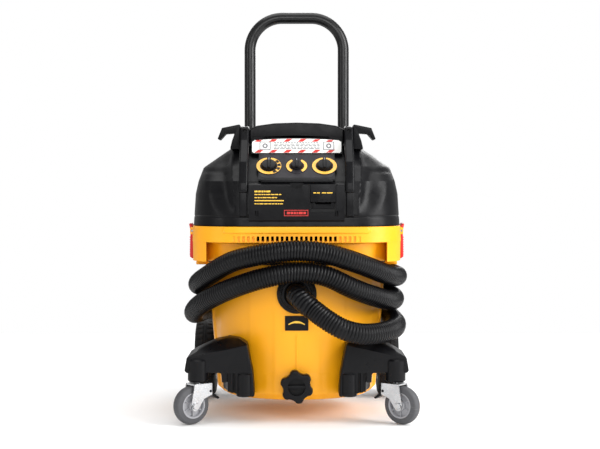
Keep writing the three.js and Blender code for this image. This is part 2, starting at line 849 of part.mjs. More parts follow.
function addLatch({ name, sign }) {
  const x = LATCH.x * sign;
  const lever = frontPlate(sided(LATCH_OUTLINE, sign), LATCH.front, LATCH.rear);
  const hole = rodY(LATCH.pin + 0.4, LATCH.front - 9, LATCH.rear + 9, x, LATCH.z, FINE);
  add(`latch_${name}`, cut(lever, hole), "red");
  const pin = rodY(LATCH.pin, LATCH.front - LATCH.ear, LATCH.rear + LATCH.ear, x, LATCH.z, FINE);
  add(`latch_pin_${name}`, pin, "zinc");
}

const BADGE = { low: [-23, -202, 181], high: [23, -185, 210] };

function addBadge() {
  add("badge", cut(box(BADGE.low, BADGE.high), tankBlock(GAP)), "black");
}

// ---- assembly -----------------------------------------------------------------------------------
addTank();
addTankSeal();
addBadge();
addRearChassis();
addInlet();
addDrain();
addHose();
addHeadRing();
addHeadCover();
addMotor();
addElectrics();
addColumn();
addOutlet();
addLabel();
addTopFittings();
addPushHandle();
DIALS.forEach(addDial);
for (const side of SIDES) {
  addCastorArm(side);
  addCastor(side);
  addRearWheel(side);
  addFilters(side);
  addHandleGuide(side);
  addLatch(side);
}

export default vacuum;
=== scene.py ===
"""The looks of a wheeled shop vacuum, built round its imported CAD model.

Shapes are written in millimetres, in the CAD frame: +Z up, the front faces -Y, the floor is z = 0.
piece() scales each one to metres, puts it on its body and says which CAD nodes it stands for.
"""
import math

import bmesh
import bpy
from mathutils import Matrix, Vector


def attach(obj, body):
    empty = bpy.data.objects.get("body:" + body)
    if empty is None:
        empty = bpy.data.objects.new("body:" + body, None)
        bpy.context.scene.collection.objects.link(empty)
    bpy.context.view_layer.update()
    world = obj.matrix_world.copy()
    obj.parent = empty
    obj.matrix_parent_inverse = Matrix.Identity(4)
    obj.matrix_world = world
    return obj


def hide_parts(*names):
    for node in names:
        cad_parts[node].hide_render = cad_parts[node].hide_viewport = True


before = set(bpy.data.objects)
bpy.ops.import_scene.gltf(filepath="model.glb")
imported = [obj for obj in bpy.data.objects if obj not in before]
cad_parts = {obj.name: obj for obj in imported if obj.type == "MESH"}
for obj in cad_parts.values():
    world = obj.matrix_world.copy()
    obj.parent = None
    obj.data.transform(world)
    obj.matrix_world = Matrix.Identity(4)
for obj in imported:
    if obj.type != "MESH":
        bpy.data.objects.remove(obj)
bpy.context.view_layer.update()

MM = 0.001
SIDES = {"left": -1, "right": 1}

# Metres and degrees: the camera looks along +Y, dipped and turned a little.
CAMERA = {"lens": 81.6, "sensor": 36, "place": (0, -2.860, 0.462), "dip": 1.57, "turn": 0.14}
WORLD_SEEN, WORLD_LIGHT = 1.0, 0.42
LIGHT_TARGET = (0, 0, 0.4)
# Name, place in metres, size in metres, power in watts.
LIGHTS = [
    ("right_softbox", (2.4, -1.2, 1.4), (1.6, 2.2), 100),
    ("left_fill", (-2.8, -1.8, 1.3), (1.0, 2.0), 16),
    ("front_fill", (0.3, -3.8, 1.7), (2.6, 1.8), 60),
    ("overhead", (0, 0.2, 3.0), (2.6, 2.6), 52),
    ("back_fill", (0.4, 3.2, 1.8), (2.2, 1.6), 40),
]
FLOOR = {"half": 1.9, "place": (0, -0.5, -0.0005)}


# ---- camera, floor and light --------------------------------------------------------------------
def make_camera():
    data = bpy.data.cameras.new("camera")
    data.lens = CAMERA["lens"]
    data.sensor_width = CAMERA["sensor"]
    camera = bpy.data.objects.new("camera", data)
    camera.location = CAMERA["place"]
    camera.rotation_euler = (math.radians(90 - CAMERA["dip"]), 0, math.radians(-CAMERA["turn"]))
    bpy.context.scene.collection.objects.link(camera)
    bpy.context.scene.camera = camera


def make_area_light(name, location, size, power):
    data = bpy.data.lights.new(name, "AREA")
    data.shape = "RECTANGLE"
    data.size, data.size_y = size
    data.energy = power
    light = bpy.data.objects.new(name, data)
    light.location = location
    light.rotation_euler = (Vector(LIGHT_TARGET) - Vector(location)).to_track_quat("-Z", "Y").to_euler()
    bpy.context.scene.collection.objects.link(light)


def make_world():
    """A soft white surround: full white where the camera sees it, weaker where it lights."""
    world = bpy.data.worlds.new("studio")
    world.use_nodes = True
    tree = world.node_tree
    tree.nodes.clear()
    seen, lit = (tree.nodes.new("ShaderNodeBackground") for _ in range(2))
    for node, strength in ((seen, WORLD_SEEN), (lit, WORLD_LIGHT)):
        node.inputs["Strength"].default_value = strength
        node.inputs["Color"].default_value = (1, 1, 1, 1)
    path = tree.nodes.new("ShaderNodeLightPath")
    mix = tree.nodes.new("ShaderNodeMixShader")
    tree.links.new(path.outputs["Is Camera Ray"], mix.inputs[0])
    tree.links.new(lit.outputs[0], mix.inputs[1])
    tree.links.new(seen.outputs[0], mix.inputs[2])
    tree.links.new(mix.outputs[0], tree.nodes.new("ShaderNodeOutputWorld").inputs["Surface"])
    bpy.context.scene.world = world


def make_studio():
    bpy.context.scene.view_settings.view_transform = "Standard"
    make_world()
    for light in LIGHTS:
        make_area_light(*light)
    bm = bmesh.new()
    bmesh.ops.create_grid(bm, x_segments=8, y_segments=8, size=FLOOR["half"])
    mesh = bpy.data.meshes.new("floor")
    bm.to_mesh(mesh)
    bm.free()
    floor = bpy.data.objects.new("floor", mesh)
    floor.location = FLOOR["place"]
    floor.data.materials.append(plastic("floor_paint", (250, 250, 250), 0.8, mottle=0.01, grain=0))
    bpy.context.scene.collection.objects.link(floor)


# ---- materials ----------------------------------------------------------------------------------
def linear(colour, gain=1.0):
    """A shader colour from a 0-255 display colour."""
    def channel(value):
        value /= 255
        return value / 12.92 if value <= 0.04045 else ((value + 0.055) / 1.055) ** 2.4
    return tuple(min(1.0, channel(value) * gain) for value in colour) + (1.0,)


class Nodes:
    """A material's node tree, with short calls to add and join nodes."""

    def __init__(self, name):
        self.material = bpy.data.materials.new(name)
        self.material.use_nodes = True
        self.tree = self.material.node_tree
        self.tree.nodes.clear()
        self.shader = self.add("BsdfPrincipled")
        output = self.add("OutputMaterial")
        self.join(self.shader.outputs[0], output.inputs["Surface"])
        self.place = self.add("TexCoord").outputs["Object"]

    def add(self, kind, **settings):
        node = self.tree.nodes.new("ShaderNode" + kind)
        for key, value in settings.items():
            setattr(node, key, value)
        return node

    def join(self, source, target):
        self.tree.links.new(source, target)

    def noise(self, scale, detail=3.0, stretch=None):
        """The grey value of a noise field of that many cells to the metre."""
        node = self.add("TexNoise")
        node.inputs["Scale"].default_value = scale
        node.inputs["Detail"].default_value = detail
        source = self.place
        if stretch:
            mapping = self.add("Mapping")
            mapping.inputs["Scale"].default_value = stretch
            self.join(source, mapping.inputs["Vector"])
            source = mapping.outputs["Vector"]
        self.join(source, node.inputs["Vector"])
        return node.outputs["Fac"]

    def ranged(self, value, low, high, to_low, to_high):
        node = self.add("MapRange")
        limits = {"From Min": low, "From Max": high, "To Min": to_low, "To Max": to_high}
        for socket, number in limits.items():
            node.inputs[socket].default_value = number
        self.join(value, node.inputs["Value"])
        return node.outputs["Result"]

    def blend(self, factor, first, second):
        """A colour between two; each is a colour or a socket."""
        node = self.add("Mix", data_type="RGBA")
        self.join(factor, node.inputs[0])
        for socket, value in ((node.inputs[6], first), (node.inputs[7], second)):
            if isinstance(value, tuple):
                socket.default_value = value
            else:
                self.join(value, socket)
        return node.outputs[2]

    def bump(self, height, distance, strength=0.6):
        node = self.add("Bump")
        node.inputs["Strength"].default_value = strength
        node.inputs["Distance"].default_value = distance
        self.join(height, node.inputs["Height"])
        self.join(node.outputs["Normal"], self.shader.inputs["Normal"])


def plastic(name, colour, roughness, mottle=0.07, grain=0.00005, grain_scale=1100, scuff=0.0, dust=0.0,
            coat=0.0, shine=0.5):
    """Moulded plastic, rubber or paint: a slow drift of shade, a fine grain, and scuffs and dust if asked."""
    nodes = Nodes(name)
    shade = nodes.ranged(nodes.noise(9, 4), 0.3, 0.7, 0, 1)
    tint = nodes.blend(shade, linear(colour, 1 - mottle), linear(colour, 1 + mottle))
    if scuff:
        streaks = nodes.ranged(nodes.noise(34, 6, stretch=(1, 1, 7)), 0.62, 0.74, 0, scuff)
        tint = nodes.blend(streaks, tint, linear((200, 198, 190)))
    if dust:
        up = nodes.add("SeparateXYZ")
        nodes.join(nodes.add("NewGeometry").outputs["Normal"], up.inputs[0])
        film = nodes.add("Math", operation="MULTIPLY")
        nodes.join(nodes.ranged(up.outputs["Z"], 0.2, 1.0, 0, dust), film.inputs[0])
        nodes.join(nodes.ranged(nodes.noise(55, 5), 0.35, 0.75, 0.2, 1), film.inputs[1])
        tint = nodes.blend(film.outputs[0], tint, linear((150, 146, 138)))
    nodes.join(tint, nodes.shader.inputs["Base Color"])
    rough = nodes.ranged(nodes.noise(70, 4), 0.3, 0.7, max(0.04, roughness - 0.07), min(1, roughness + 0.07))
    nodes.join(rough, nodes.shader.inputs["Roughness"])
    nodes.shader.inputs["Coat Weight"].default_value = coat
    nodes.shader.inputs["Specular IOR Level"].default_value = shine
    if grain:
        nodes.bump(nodes.noise(grain_scale, 2), grain)
    return nodes.material


def zinc(name, colour, roughness):
    """Zinc plate: metal with a faint crystal spangle."""
    nodes = Nodes(name)
    cells = nodes.add("TexVoronoi")
    cells.inputs["Scale"].default_value = 240
    nodes.join(nodes.place, cells.inputs["Vector"])
    spangle = nodes.ranged(cells.outputs["Distance"], 0, 0.7, 0, 1)
    nodes.join(nodes.blend(spangle, linear(colour), linear(colour, 0.9)), nodes.shader.inputs["Base Color"])
    rough = nodes.ranged(nodes.noise(45, 4), 0.3, 0.7, roughness - 0.08, roughness + 0.1)
    nodes.join(rough, nodes.shader.inputs["Roughness"])
    nodes.shader.inputs["Metallic"].default_value = 1.0
    nodes.bump(nodes.noise(300, 3), 0.00001, 0.3)
    return nodes.material


def paper(name, colour):
    """Filter paper: matt fibres with grey dust caught in them."""
    nodes = Nodes(name)
    fibre = nodes.ranged(nodes.noise(420, 6, stretch=(1, 1, 0.25)), 0.3, 0.7, 0, 1)
    nodes.join(nodes.blend(fibre, linear(colour, 0.8), linear(colour)), nodes.shader.inputs["Base Color"])
    nodes.shader.inputs["Roughness"].default_value = 0.95
    nodes.bump(nodes.noise(900, 4), 0.0001)
    return nodes.material


# Colour as seen (0-255), roughness, then what differs from plastic()'s usual finish.
PLASTICS = {
    "yellow_plastic": ((248, 168, 10), 0.42, {"mottle": 0.03, "grain": 0.00003, "dust": 0.03, "shine": 0.4}),
    "dial_yellow": ((238, 180, 66), 0.4, {"mottle": 0.04, "grain": 0.00002}),
    "black_plastic": ((13, 13, 15), 0.34, {"mottle": 0.12, "shine": 0.15}),
    "hose_plastic": ((8, 8, 10), 0.34, {"mottle": 0.12, "grain": 0.00003, "shine": 0.18}),
    "black_rubber": ((12, 12, 13), 0.6, {"mottle": 0.12, "grain": 0.00006, "shine": 0.18}),
    "black_steel": ((10, 10, 11), 0.34, {"grain": 0, "coat": 0.1, "shine": 0.3}),
    "grey_tyre": ((70, 70, 73), 0.62, {"grain": 0.00006, "scuff": 0.10}),
    "grey_hub": ((150, 150, 154), 0.45, {"grain": 0.00003}),
    "black_tyre": ((12, 12, 14), 0.66, {"mottle": 0.15, "grain": 0.00008, "dust": 0.05, "shine": 0.2}),
    "red_plastic": ((200, 18, 16), 0.4, {"mottle": 0.04, "grain": 0.00003}),
    "label_white": ((238, 238, 234), 0.42, {"mottle": 0.02, "grain": 0.00001}),
    "circuit": ((30, 92, 52), 0.35, {"mottle": 0.2, "grain": 0.00006, "grain_scale": 500}),
    "console_grey": ((36, 34, 38), 0.48, {"mottle": 0.1, "grain": 0.00004, "shine": 0.2}),
    "print_grey": ((120, 120, 124), 0.5, {"mottle": 0.05, "grain": 0.00001}),
    "print_red": ((196, 40, 34), 0.45, {"mottle": 0.04, "grain": 0.00001}),
    "print_yellow": ((232, 186, 60), 0.45, {"mottle": 0.04, "grain": 0.00001}),
}


def make_materials():
    made = {}
    for name, (colour, roughness, finish) in PLASTICS.items():
        made[name] = plastic(name, colour, roughness, **finish)
    made["zinc_steel"] = zinc("zinc_steel", (196, 197, 199), 0.26)
    made["motor_metal"] = zinc("motor_metal", (150, 152, 156), 0.42)
    made["filter_media"] = paper("filter_media", (222, 212, 190))
    return made


# ---- mesh tools ---------------------------------------------------------------------------------
def skin(rings, closed=False):
    """A mesh through rings of points, its ends capped; closed joins the last ring to the first instead."""
    bm = bmesh.new()
    rows = [[bm.verts.new(point) for point in ring] for ring in rings]
    pairs = list(zip(rows, rows[1:])) + ([(rows[-1], rows[0])] if closed else [])
    for low, high in pairs:
        count = len(low)
        for at in range(count):
            after = (at + 1) % count
            bm.faces.new((low[at], low[after], high[after], high[at]))
    if not closed:
        bm.faces.new(list(reversed(rows[0])))
        bm.faces.new(rows[-1])
    bmesh.ops.recalc_face_normals(bm, faces=bm.faces)
    return bm


def lathe(profile, segments=64, wave=None):
    """A solid of revolution about Z through (radius, height) points, closed if the last point is the first.

    wave(angle, radius, height) may change the radius from place to place.
    """
    closed = profile[0] == profile[-1]
    points = profile[:-1] if closed else profile
    rings = []
    for radius, height in points:
        ring = []
        for step in range(segments):
            angle = 2 * math.pi * step / segments
            reach = wave(angle, radius, height) if wave else radius
            ring.append((reach * math.cos(angle), reach * math.sin(angle), height))
        rings.append(ring)
    bm = skin(rings, closed=closed)
    bmesh.ops.remove_doubles(bm, verts=bm.verts, dist=1e-4)
    return bm


def filleted(outline, radius, steps=5):
    """A closed outline with every corner rounded to radius, or to less where its edges are short."""
    rounded = []
    count = len(outline)
    for at in range(count):
        before, corner, after = (Vector(outline[(at + k) % count]) for k in (-1, 0, 1))
        back, ahead = before - corner, after - corner
        half = back.angle(ahead) / 2
        reach = min(radius / max(math.tan(half), 1e-3), 0.45 * back.length, 0.45 * ahead.length)
        start, end = corner + back.normalized() * reach, corner + ahead.normalized() * reach
        for step in range(steps + 1):
            t = step / steps
            rounded.append(tuple(start * (1 - t) ** 2 + corner * 2 * t * (1 - t) + end * t * t))
    return rounded


PLACES = {
    "x": lambda a, b, t: (t, a, b),
    "y": lambda a, b, t: (a, t, b),
    "z": lambda a, b, t: (a, b, t),
}


def prism(outline, axis, low, high, edge=0.0, steps=3):
    """An outline carried along an axis, with its two rims rounded over by edge."""
    place = PLACES[axis]
    layers = [(low, 0.0), (high, 0.0)]
    if edge:
        turns = [math.pi * k / steps / 2 for k in range(steps + 1)]
        arc = [(1 - math.cos(turn), math.sin(turn)) for turn in turns]
        layers = [(low + edge * rise, edge * (1 - run)) for rise, run in arc]
        layers += [(high - edge * rise, edge * (1 - run)) for rise, run in reversed(arc)]
    rings = []
    for depth, inset in layers:
        ring = inset_outline(outline, inset) if inset > 1e-6 else outline
        rings.append([place(a, b, depth) for a, b in ring])
    return skin(rings)


def inset_outline(outline, inset):
    """An outline moved inwards along the mean normal at each of its points."""
    count = len(outline)
    area = sum(outline[k][0] * outline[(k + 1) % count][1] - outline[(k + 1) % count][0] * outline[k][1]
               for k in range(count))
    turn = 1 if area > 0 else -1
    moved = []
    for at in range(count):
        before, point, after = (Vector(outline[(at + k) % count]) for k in (-1, 0, 1))
        tangent = (after - before).normalized()
        moved.append((point.x - turn * tangent.y * inset, point.y + turn * tangent.x * inset))
    return moved


def block(low, high, edge=0.0, steps=3):
    """A box between two corners, its edges rounded by edge."""
    bm = bmesh.new()
    bmesh.ops.create_cube(bm, size=1)
    size = [b - a for a, b in zip(low, high)]
    middle = [(a + b) / 2 for a, b in zip(low, high)]
    bmesh.ops.scale(bm, vec=size, verts=bm.verts)
    bmesh.ops.translate(bm, vec=middle, verts=bm.verts)
    if edge:
        bmesh.ops.bevel(bm, geom=bm.edges[:], offset=edge, segments=steps, affect="EDGES", profile=0.5)
    return bm


def moved(bm, matrix):
    bmesh.ops.transform(bm, matrix=matrix, verts=bm.verts)
    if matrix.determinant() < 0:
        bmesh.ops.reverse_faces(bm, faces=bm.faces)
    return bm


def shifted(bm, x=0, y=0, z=0):
    return moved(bm, Matrix.Translation((x, y, z)))


def merged(*parts):
    """One bmesh that holds several as separate shells."""
    whole = bmesh.new()
    for part in parts:
        mesh = bpy.data.meshes.new("part")
        part.to_mesh(mesh)
        part.free()
        whole.from_mesh(mesh)
        bpy.data.meshes.remove(mesh)
    return whole


Z_TO_Y = Matrix(((1, 0, 0, 0), (0, 0, 1, 0), (0, -1, 0, 0), (0, 0, 0, 1)))


def rod(radius, low, high, x=0, y=0, axis="z", segments=32, edge=0.0):
    """A round bar along an axis; x and y place it in the plane across that axis."""
    edge = min(edge, radius * 0.5)
    profile = [(0, low), (radius, low), (radius, high), (0, high)]
    if edge:
        profile = [(0, low), (radius - edge, low), (radius, low + edge), (radius, high - edge),
                   (radius - edge, high), (0, high)]
    bm = lathe(profile, segments)
    if axis == "z":
        return shifted(bm, x, y, 0)
    if axis == "y":
        return shifted(moved(bm, Z_TO_Y), x, 0, y)
    return shifted(moved(bm, Matrix.Rotation(math.pi / 2, 4, "Y")), 0, x, y)


def as_object(bm, name="tool"):
    mesh = bpy.data.meshes.new(name)
    bm.to_mesh(mesh)
    bm.free()
    made = bpy.data.objects.new(name, mesh)
    bpy.context.scene.collection.objects.link(made)
    return made


def combined(base, operation, *tools):
    """The base with each tool joined on (UNION) or cut away (DIFFERENCE), or what they share (INTERSECT)."""
    target = as_object(base, "target")
    helpers = [as_object(tool) for tool in tools]
    for helper in helpers:
        step = target.modifiers.new("combine", "BOOLEAN")
        step.operation, step.object, step.solver = operation, helper, "EXACT"
    graph = bpy.context.evaluated_depsgraph_get()
    mesh = bpy.data.meshes.new_from_object(target.evaluated_get(graph))
    result = bmesh.new()
    result.from_mesh(mesh)
    for used in [target, *helpers]:
        data = used.data
        bpy.data.objects.remove(used)
        bpy.data.meshes.remove(data)
    bpy.data.meshes.remove(mesh)
    if not result.faces:
        raise ValueError("a boolean left nothing: its outline crosses itself")
    return result


def cut(base, *tools):
    return combined(base, "DIFFERENCE", *tools)


def joined(base, *tools):
    return combined(base, "UNION", *tools)


def cad_shape(node):
    """A copy of a CAD node's mesh in millimetres, with its flat faces whole again."""
    bm = bmesh.new()
    bm.from_mesh(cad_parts[node].data)
    bmesh.ops.scale(bm, vec=(1 / MM,) * 3, verts=bm.verts)
    bmesh.ops.remove_doubles(bm, verts=bm.verts, dist=0.01)
    bmesh.ops.dissolve_limit(bm, angle_limit=math.radians(1.5), verts=bm.verts, edges=bm.edges)
    return bm


def piece(name, bm, body, slot, material=None, replaces=(), bevel=0.0, segments=2, angle=32):
    """The finished piece: in metres, smooth where it is round, on its body, standing for its CAD nodes."""
    bmesh.ops.scale(bm, vec=(MM,) * 3, verts=bm.verts)
    bmesh.ops.recalc_face_normals(bm, faces=bm.faces)
    made = as_object(bm, name)
    made.data.materials.append(MATERIALS[material or slot])
    made.data.shade_smooth()
    made.data.set_sharp_from_angle(angle=math.radians(angle))
    if bevel:
        rounding = made.modifiers.new("edges", "BEVEL")
        rounding.width = bevel * MM
        rounding.segments = segments
        rounding.limit_method = "ANGLE"
        rounding.angle_limit = math.radians(angle)
        rounding.harden_normals = True
    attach(made, body)
    if replaces:
        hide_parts(*([replaces] if isinstance(replaces, str) else replaces))
    return made


# ---- curves and tubes ---------------------------------------------------------------------------
def smooth_route(points, spacing):
    """Points a spacing apart along the centripetal Catmull-Rom curve through a route."""
    route = [Vector(p) for p in points]
    route = [route[0] * 2 - route[1], *route, route[-1] * 2 - route[-2]]
    dense = []
    for a, b, c, d in zip(route, route[1:], route[2:], route[3:]):
        knots = [0.0]
        for p, q in ((a, b), (b, c), (c, d)):
            knots.append(knots[-1] + (q - p).length ** 0.5)
        t0, t1, t2, t3 = knots
        steps = 40
        for step in range(steps):
            t = t1 + (t2 - t1) * step / steps
            a1 = a * ((t1 - t) / (t1 - t0)) + b * ((t - t0) / (t1 - t0))
            a2 = b * ((t2 - t) / (t2 - t1)) + c * ((t - t1) / (t2 - t1))
            a3 = c * ((t3 - t) / (t3 - t2)) + d * ((t - t2) / (t3 - t2))
            b1 = a1 * ((t2 - t) / (t2 - t0)) + a2 * ((t - t0) / (t2 - t0))
            b2 = a2 * ((t3 - t) / (t3 - t1)) + a3 * ((t - t1) / (t3 - t1))
            dense.append(b1 * ((t2 - t) / (t2 - t1)) + b2 * ((t - t1) / (t2 - t1)))
    dense.append(route[-2])
    reached = [0.0]
    for p, q in zip(dense, dense[1:]):
        reached.append(reached[-1] + (q - p).length)
    count = max(1, round(reached[-1] / spacing))
    spaced, at = [], 0
    for step in range(count + 1):
        goal = reached[-1] * step / count
        while at < len(reached) - 2 and reached[at + 1] < goal:
            at += 1
        share = (goal - reached[at]) / max(reached[at + 1] - reached[at], 1e-9)
        spaced.append(dense[at].lerp(dense[at + 1], min(max(share, 0), 1)))
    return spaced


def sweep(path, radii, sides):
    """A round bar along a path; radii gives its radius at each point."""
    last = len(path) - 1
    forward = [(path[min(k + 1, last)] - path[max(k - 1, 0)]).normalized() for k in range(len(path))]
    across = forward[0].orthogonal().normalized()
    rings = []
    for point, ahead, radius in zip(path, forward, radii):
        across = (across - ahead * across.dot(ahead)).normalized()
        up = ahead.cross(across)
        turns = [2 * math.pi * k / sides for k in range(sides)]
        spokes = [across * math.cos(turn) + up * math.sin(turn) for turn in turns]
        rings.append([point + spoke * radius for spoke in spokes])
    return skin(rings)


# ---- hose ---------------------------------------------------------------------------------------
HOSE = {"radius": 20.5, "valley": 18.6, "pitch": 5.9, "bend_pitch": 7.4, "collar": 22.5}
# The route that the CAD hose follows, as points on its centreline.
HOSE_ROUTE = [
    (31.3, -262.2, 227.7), (56, -274, 210), (88, -279, 192), (122, -268, 182), (158, -239, 180),
    (186, -194, 182.5), (199, -131, 183.5), (202, -52, 186), (183, 70, 193), (110, 142, 201),
    (0, 165, 203.5), (-110, 142, 203), (-186, 70, 199), (-212, -44, 201), (-188, -150, 231),
    (-122, -222, 267), (-52, -247, 290), (0, -251, 298), (52, -247, 292), (112, -226, 264),
    (178, -152, 238), (202, -44, 233), (183, 70, 238), (110, 142, 244.5), (0, 165, 246.5),
    (-110, 142, 249), (-183, 70, 253), (-203.5, -44, 260), (-182, -152, 282), (-121, -225, 319),
    (-52, -249, 335), (0, -253, 340), (52, -249, 335.5), (112, -228, 317), (181, -152, 288),
    (208, -44, 279), (184, 70, 283), (110, 142, 288.5), (72, 157, 290), (40, 163, 291),
]
CUFF_ROUTE = [
    (0, -196, 254), (0, -212, 254), (0, -229, 254),
    (7, -245.5, 247.5), (20.4, -256.9, 235.5), (31, -262, 227.9),
]
TOOL_CUFF_ROUTE = [(39, 163.2, 291), (20, 166.8, 291.2), (-40, 165, 291)]


# How far each point of a rib stands out, as a share of the rib's height, from one valley to the next.
RIB = [0.0, 0.85, 1.0, 0.85]
BEND_RIB = [0.0, 0.5, 0.9, 1.0, 0.9, 0.5]


def make_hose():
    path = smooth_route(HOSE_ROUTE, HOSE["pitch"] / len(RIB))
    height = HOSE["radius"] - HOSE["valley"]
    radii = [HOSE["valley"] + height * RIB[k % len(RIB)] for k in range(len(path))]
    hose = piece("suction_hose", sweep(path, radii, 22), "tank", "hose_plastic", replaces="hose", angle=80)
    near = make_inlet_bend()
    far = make_tool_socket()


def make_inlet_bend():
    """The ribbed bend out of the inlet: a plain collar in the lock ring, then wide ribs."""
    path = smooth_route(CUFF_ROUTE, HOSE["bend_pitch"] / len(BEND_RIB))
    collar = 22
    radii = [HOSE["collar"]] * collar
    crest, height = HOSE["radius"] + 0.6, 2.4
    for k in range(len(path) - collar):
        radii.append(crest - height * (1 - BEND_RIB[k % len(BEND_RIB)]))
    return piece("inlet_bend", sweep(path, radii, 40), "tank", "hose_plastic", replaces="hose_cuff", angle=60)


def make_tool_socket():
    """The rubber socket on the hose's far end, with grip grooves near the hose."""
    path = smooth_route(TOOL_CUFF_ROUTE, 1.5)
    radii = [HOSE["collar"]] * len(path)
    radii[0] -= 1.5
    radii[-1] -= 0.8
    for groove in (5, 9, 13, 17):
        radii[groove] -= 1.4
    return piece("tool_socket", sweep(path, radii, 40), "tank", "hose_plastic", material="black_rubber",
                 replaces="hose_tool_cuff", angle=50)


# ---- rounded shells: tank, ring and cover -------------------------------------------------------
# Each level of a shell: height, half width, front edge, rear edge, corner radius.
TANK_LEVELS = [(41, 150, -178, 126, 144), (54, 164, -191, 138, 157), (309, 184, -206, 141, 168)]
RING_LEVELS = [(315, 190, -200, 176, 110), (352, 194, -204, 178, 110), (354, 210, -220, 188, 105),
               (385, 209, -219, 188, 105)]
COVER_LEVELS = [(385.3, 208, -211, 187, 104), (449, 204, -205, 187, 100), (474, 198.5, -199, 186, 96),
                (502, 189.5, -168, 184, 88), (541, 135, -120, 174, 62), (547, 126, -112, 170, 54)]
WALL = 4
# Points to a rounded corner, and to a straight side, of each shell.
TANK_FINENESS, RING_FINENESS, COVER_FINENESS = (72, 16), (64, 40), (72, 36)
INLET = {"z": 254, "front": -203, "bore": 27}
DRAIN = {"z": 72, "face": -193, "neck": 14, "knob": 33, "wave": 3, "turned": 100, "back": -197.6, "grip": 22}


def level_at(levels, z):
    """The shell's half width, front, rear and corner radius at a height."""
    for low, high in zip(levels, levels[1:]):
        if z <= high[0]:
            share = max(0.0, (z - low[0]) / (high[0] - low[0]))
            return [a + (b - a) * share for a, b in zip(low[1:], high[1:])]
    return list(levels[-1][1:])


def shell_ring(levels, z, grow, corner_steps, flat_steps):
    """The shell's rounded rectangle at a height, with the outward direction at each point."""
    half, front, rear, radius = level_at(levels, z)
    half, front, rear, radius = half + grow, front - grow, rear + grow, max(radius + grow, 1)
    centres = [(half - radius, rear - radius), (radius - half, rear - radius),
               (radius - half, front + radius), (half - radius, front + radius)]
    ring = []
    for quarter, (x, y) in enumerate(centres):
        for step in range(corner_steps + 1):
            angle = (quarter + step / corner_steps) * math.pi / 2
            out = Vector((math.cos(angle), math.sin(angle), 0))
            ring.append((Vector((x, y, z)) + out * radius, out))
        start, out = ring[-1]
        x, y = centres[(quarter + 1) % 4]
        end = Vector((x, y, z)) + out * radius
        for step in range(1, flat_steps):
            ring.append((start.lerp(end, step / flat_steps), out))
    return ring


def shell_points(levels, z, fineness, grow=0.0, relief=None, wall=0.0):
    """The shell's points at a height; relief gives how far each stands out, wall how far in they all go."""
    ring = shell_ring(levels, z, grow, *fineness)
    if relief:
        return [point + out * (relief(point, out) - wall) for point, out in ring]
    return [point for point, _ in ring]


def shell_block(levels, grow=0.0):
    """A plain solid of the shell's outer shape, for cutting."""
    return skin([shell_points(levels, level[0], (24, 2), grow) for level in levels])


def lifted(points, z):
    return [Vector((point.x, point.y, z)) for point in points]


def smooth_step(low, high, value):
    t = min(max((value - low) / (high - low), 0.0), 1.0)
    return t * t * (3 - 2 * t)


def tank_relief(point, out):
    """How far the tank's face stands out: stepped panels and a seam ridge on the front."""
    if out.y > -0.2:
        return 0.0
    side = abs(point.x)
    steps = sum(-1.3 * smooth_step(edge - 2.5, edge + 2.5, side) for edge in (46, 97, 158))
    ridge = 0.9 * math.exp(-((point.x / 1.6) ** 2)) * smooth_step(96, 104, point.z)
    ridge *= 1 - smooth_step(172, 178, point.z)
    lower = 1.0 * (1 - smooth_step(92, 96, point.z)) * (1 - smooth_step(60, 70, side))
    return steps + ridge + lower


def make_tank():
    heights = [42.5, 44, 47, 50.5, 54, 58, 66, 78, 91, 93, 95, 97, 100, 104, 120, 140, 160, 171, 174, 177,
               180, 200, 230, 260, 285, 297, 299, 301, 307, 309]
    inner_heights = [309, 301, 260, 200, 130, 80, 54, 46]
    outer = [shell_points(TANK_LEVELS, z, TANK_FINENESS, relief=tank_relief) for z in heights]
    base = shell_points(TANK_LEVELS, 41, TANK_FINENESS, -2.5)
    inner = [shell_points(TANK_LEVELS, z, TANK_FINENESS, -WALL) for z in inner_heights]
    body = skin([base] + outer + inner)
    inlet_hole = rod(INLET["bore"] + 0.3, -230, -170, 0, INLET["z"], "y", 64)
    drain_hole = rod(DRAIN["neck"] + 0.8, -220, -150, 0, DRAIN["z"], "y", 48)
    body = cut(body, inlet_hole, drain_hole)
    piece("tank_shell", body, "tank", "yellow_plastic", replaces="tank", angle=28)
    for name, sign in SIDES.items():
        near, far = sorted((183 * sign, 209 * sign))
        ledge = block((near, -36, 301.5), (far, 16, 309), 2)
        ledge = cut(ledge, shell_block(TANK_LEVELS, 0.1))
        piece(f"latch_keeper_{name}", ledge, "tank", "yellow_plastic")
    seam = [Vector((0, level_at(TANK_LEVELS, z)[1] - 0.1, z)) for z in range(108, 174, 3)]
    piece("tank_seam", sweep(seam, [1.5] * len(seam), 16), "tank", "yellow_plastic", angle=50)
    badge = cad_shape("badge")
    piece("front_badge", badge, "tank", "black_plastic", replaces="badge", bevel=0.7)
    arc = [(x, 187 + 13 * math.cos(x / 16)) for x in (-16, -12, -8, -4, 0, 4, 8, 12, 16)]
    arc += [(x, z - 4.5 + abs(x) * 0.16) for x, z in reversed(arc)]
    piece("badge_arc", prism(arc, "y", -202.5, -201.5), "tank", "black_plastic", material="print_yellow")


# ---- running gear -------------------------------------------------------------------------------
ARM = {"front": -222, "rear": -96, "boss": 20, "sweep": 58}
ARM_OUTLINE = [(214.5, 130), (219, 104), (215, 100), (147, 100), (145, 65), (82, 52), (85, 98), (97, 157),
               (113, 165), (134, 166), (164, 155), (195, 141)]
CASTOR = {"x": 193, "y": -210, "wheel": 37.5, "half": 12, "trail": 16, "turn": 0.942}
REAR = {"y": 163, "wheel": 85, "inner": 178, "outer": 223, "hub": 52}
ARM_CHAMFER = {"point": (134, -186, 166), "facing": (0.19, -0.47, 0.86)}


def mirrored(outline, sign):
    return [(a * sign, b) for a, b in outline]


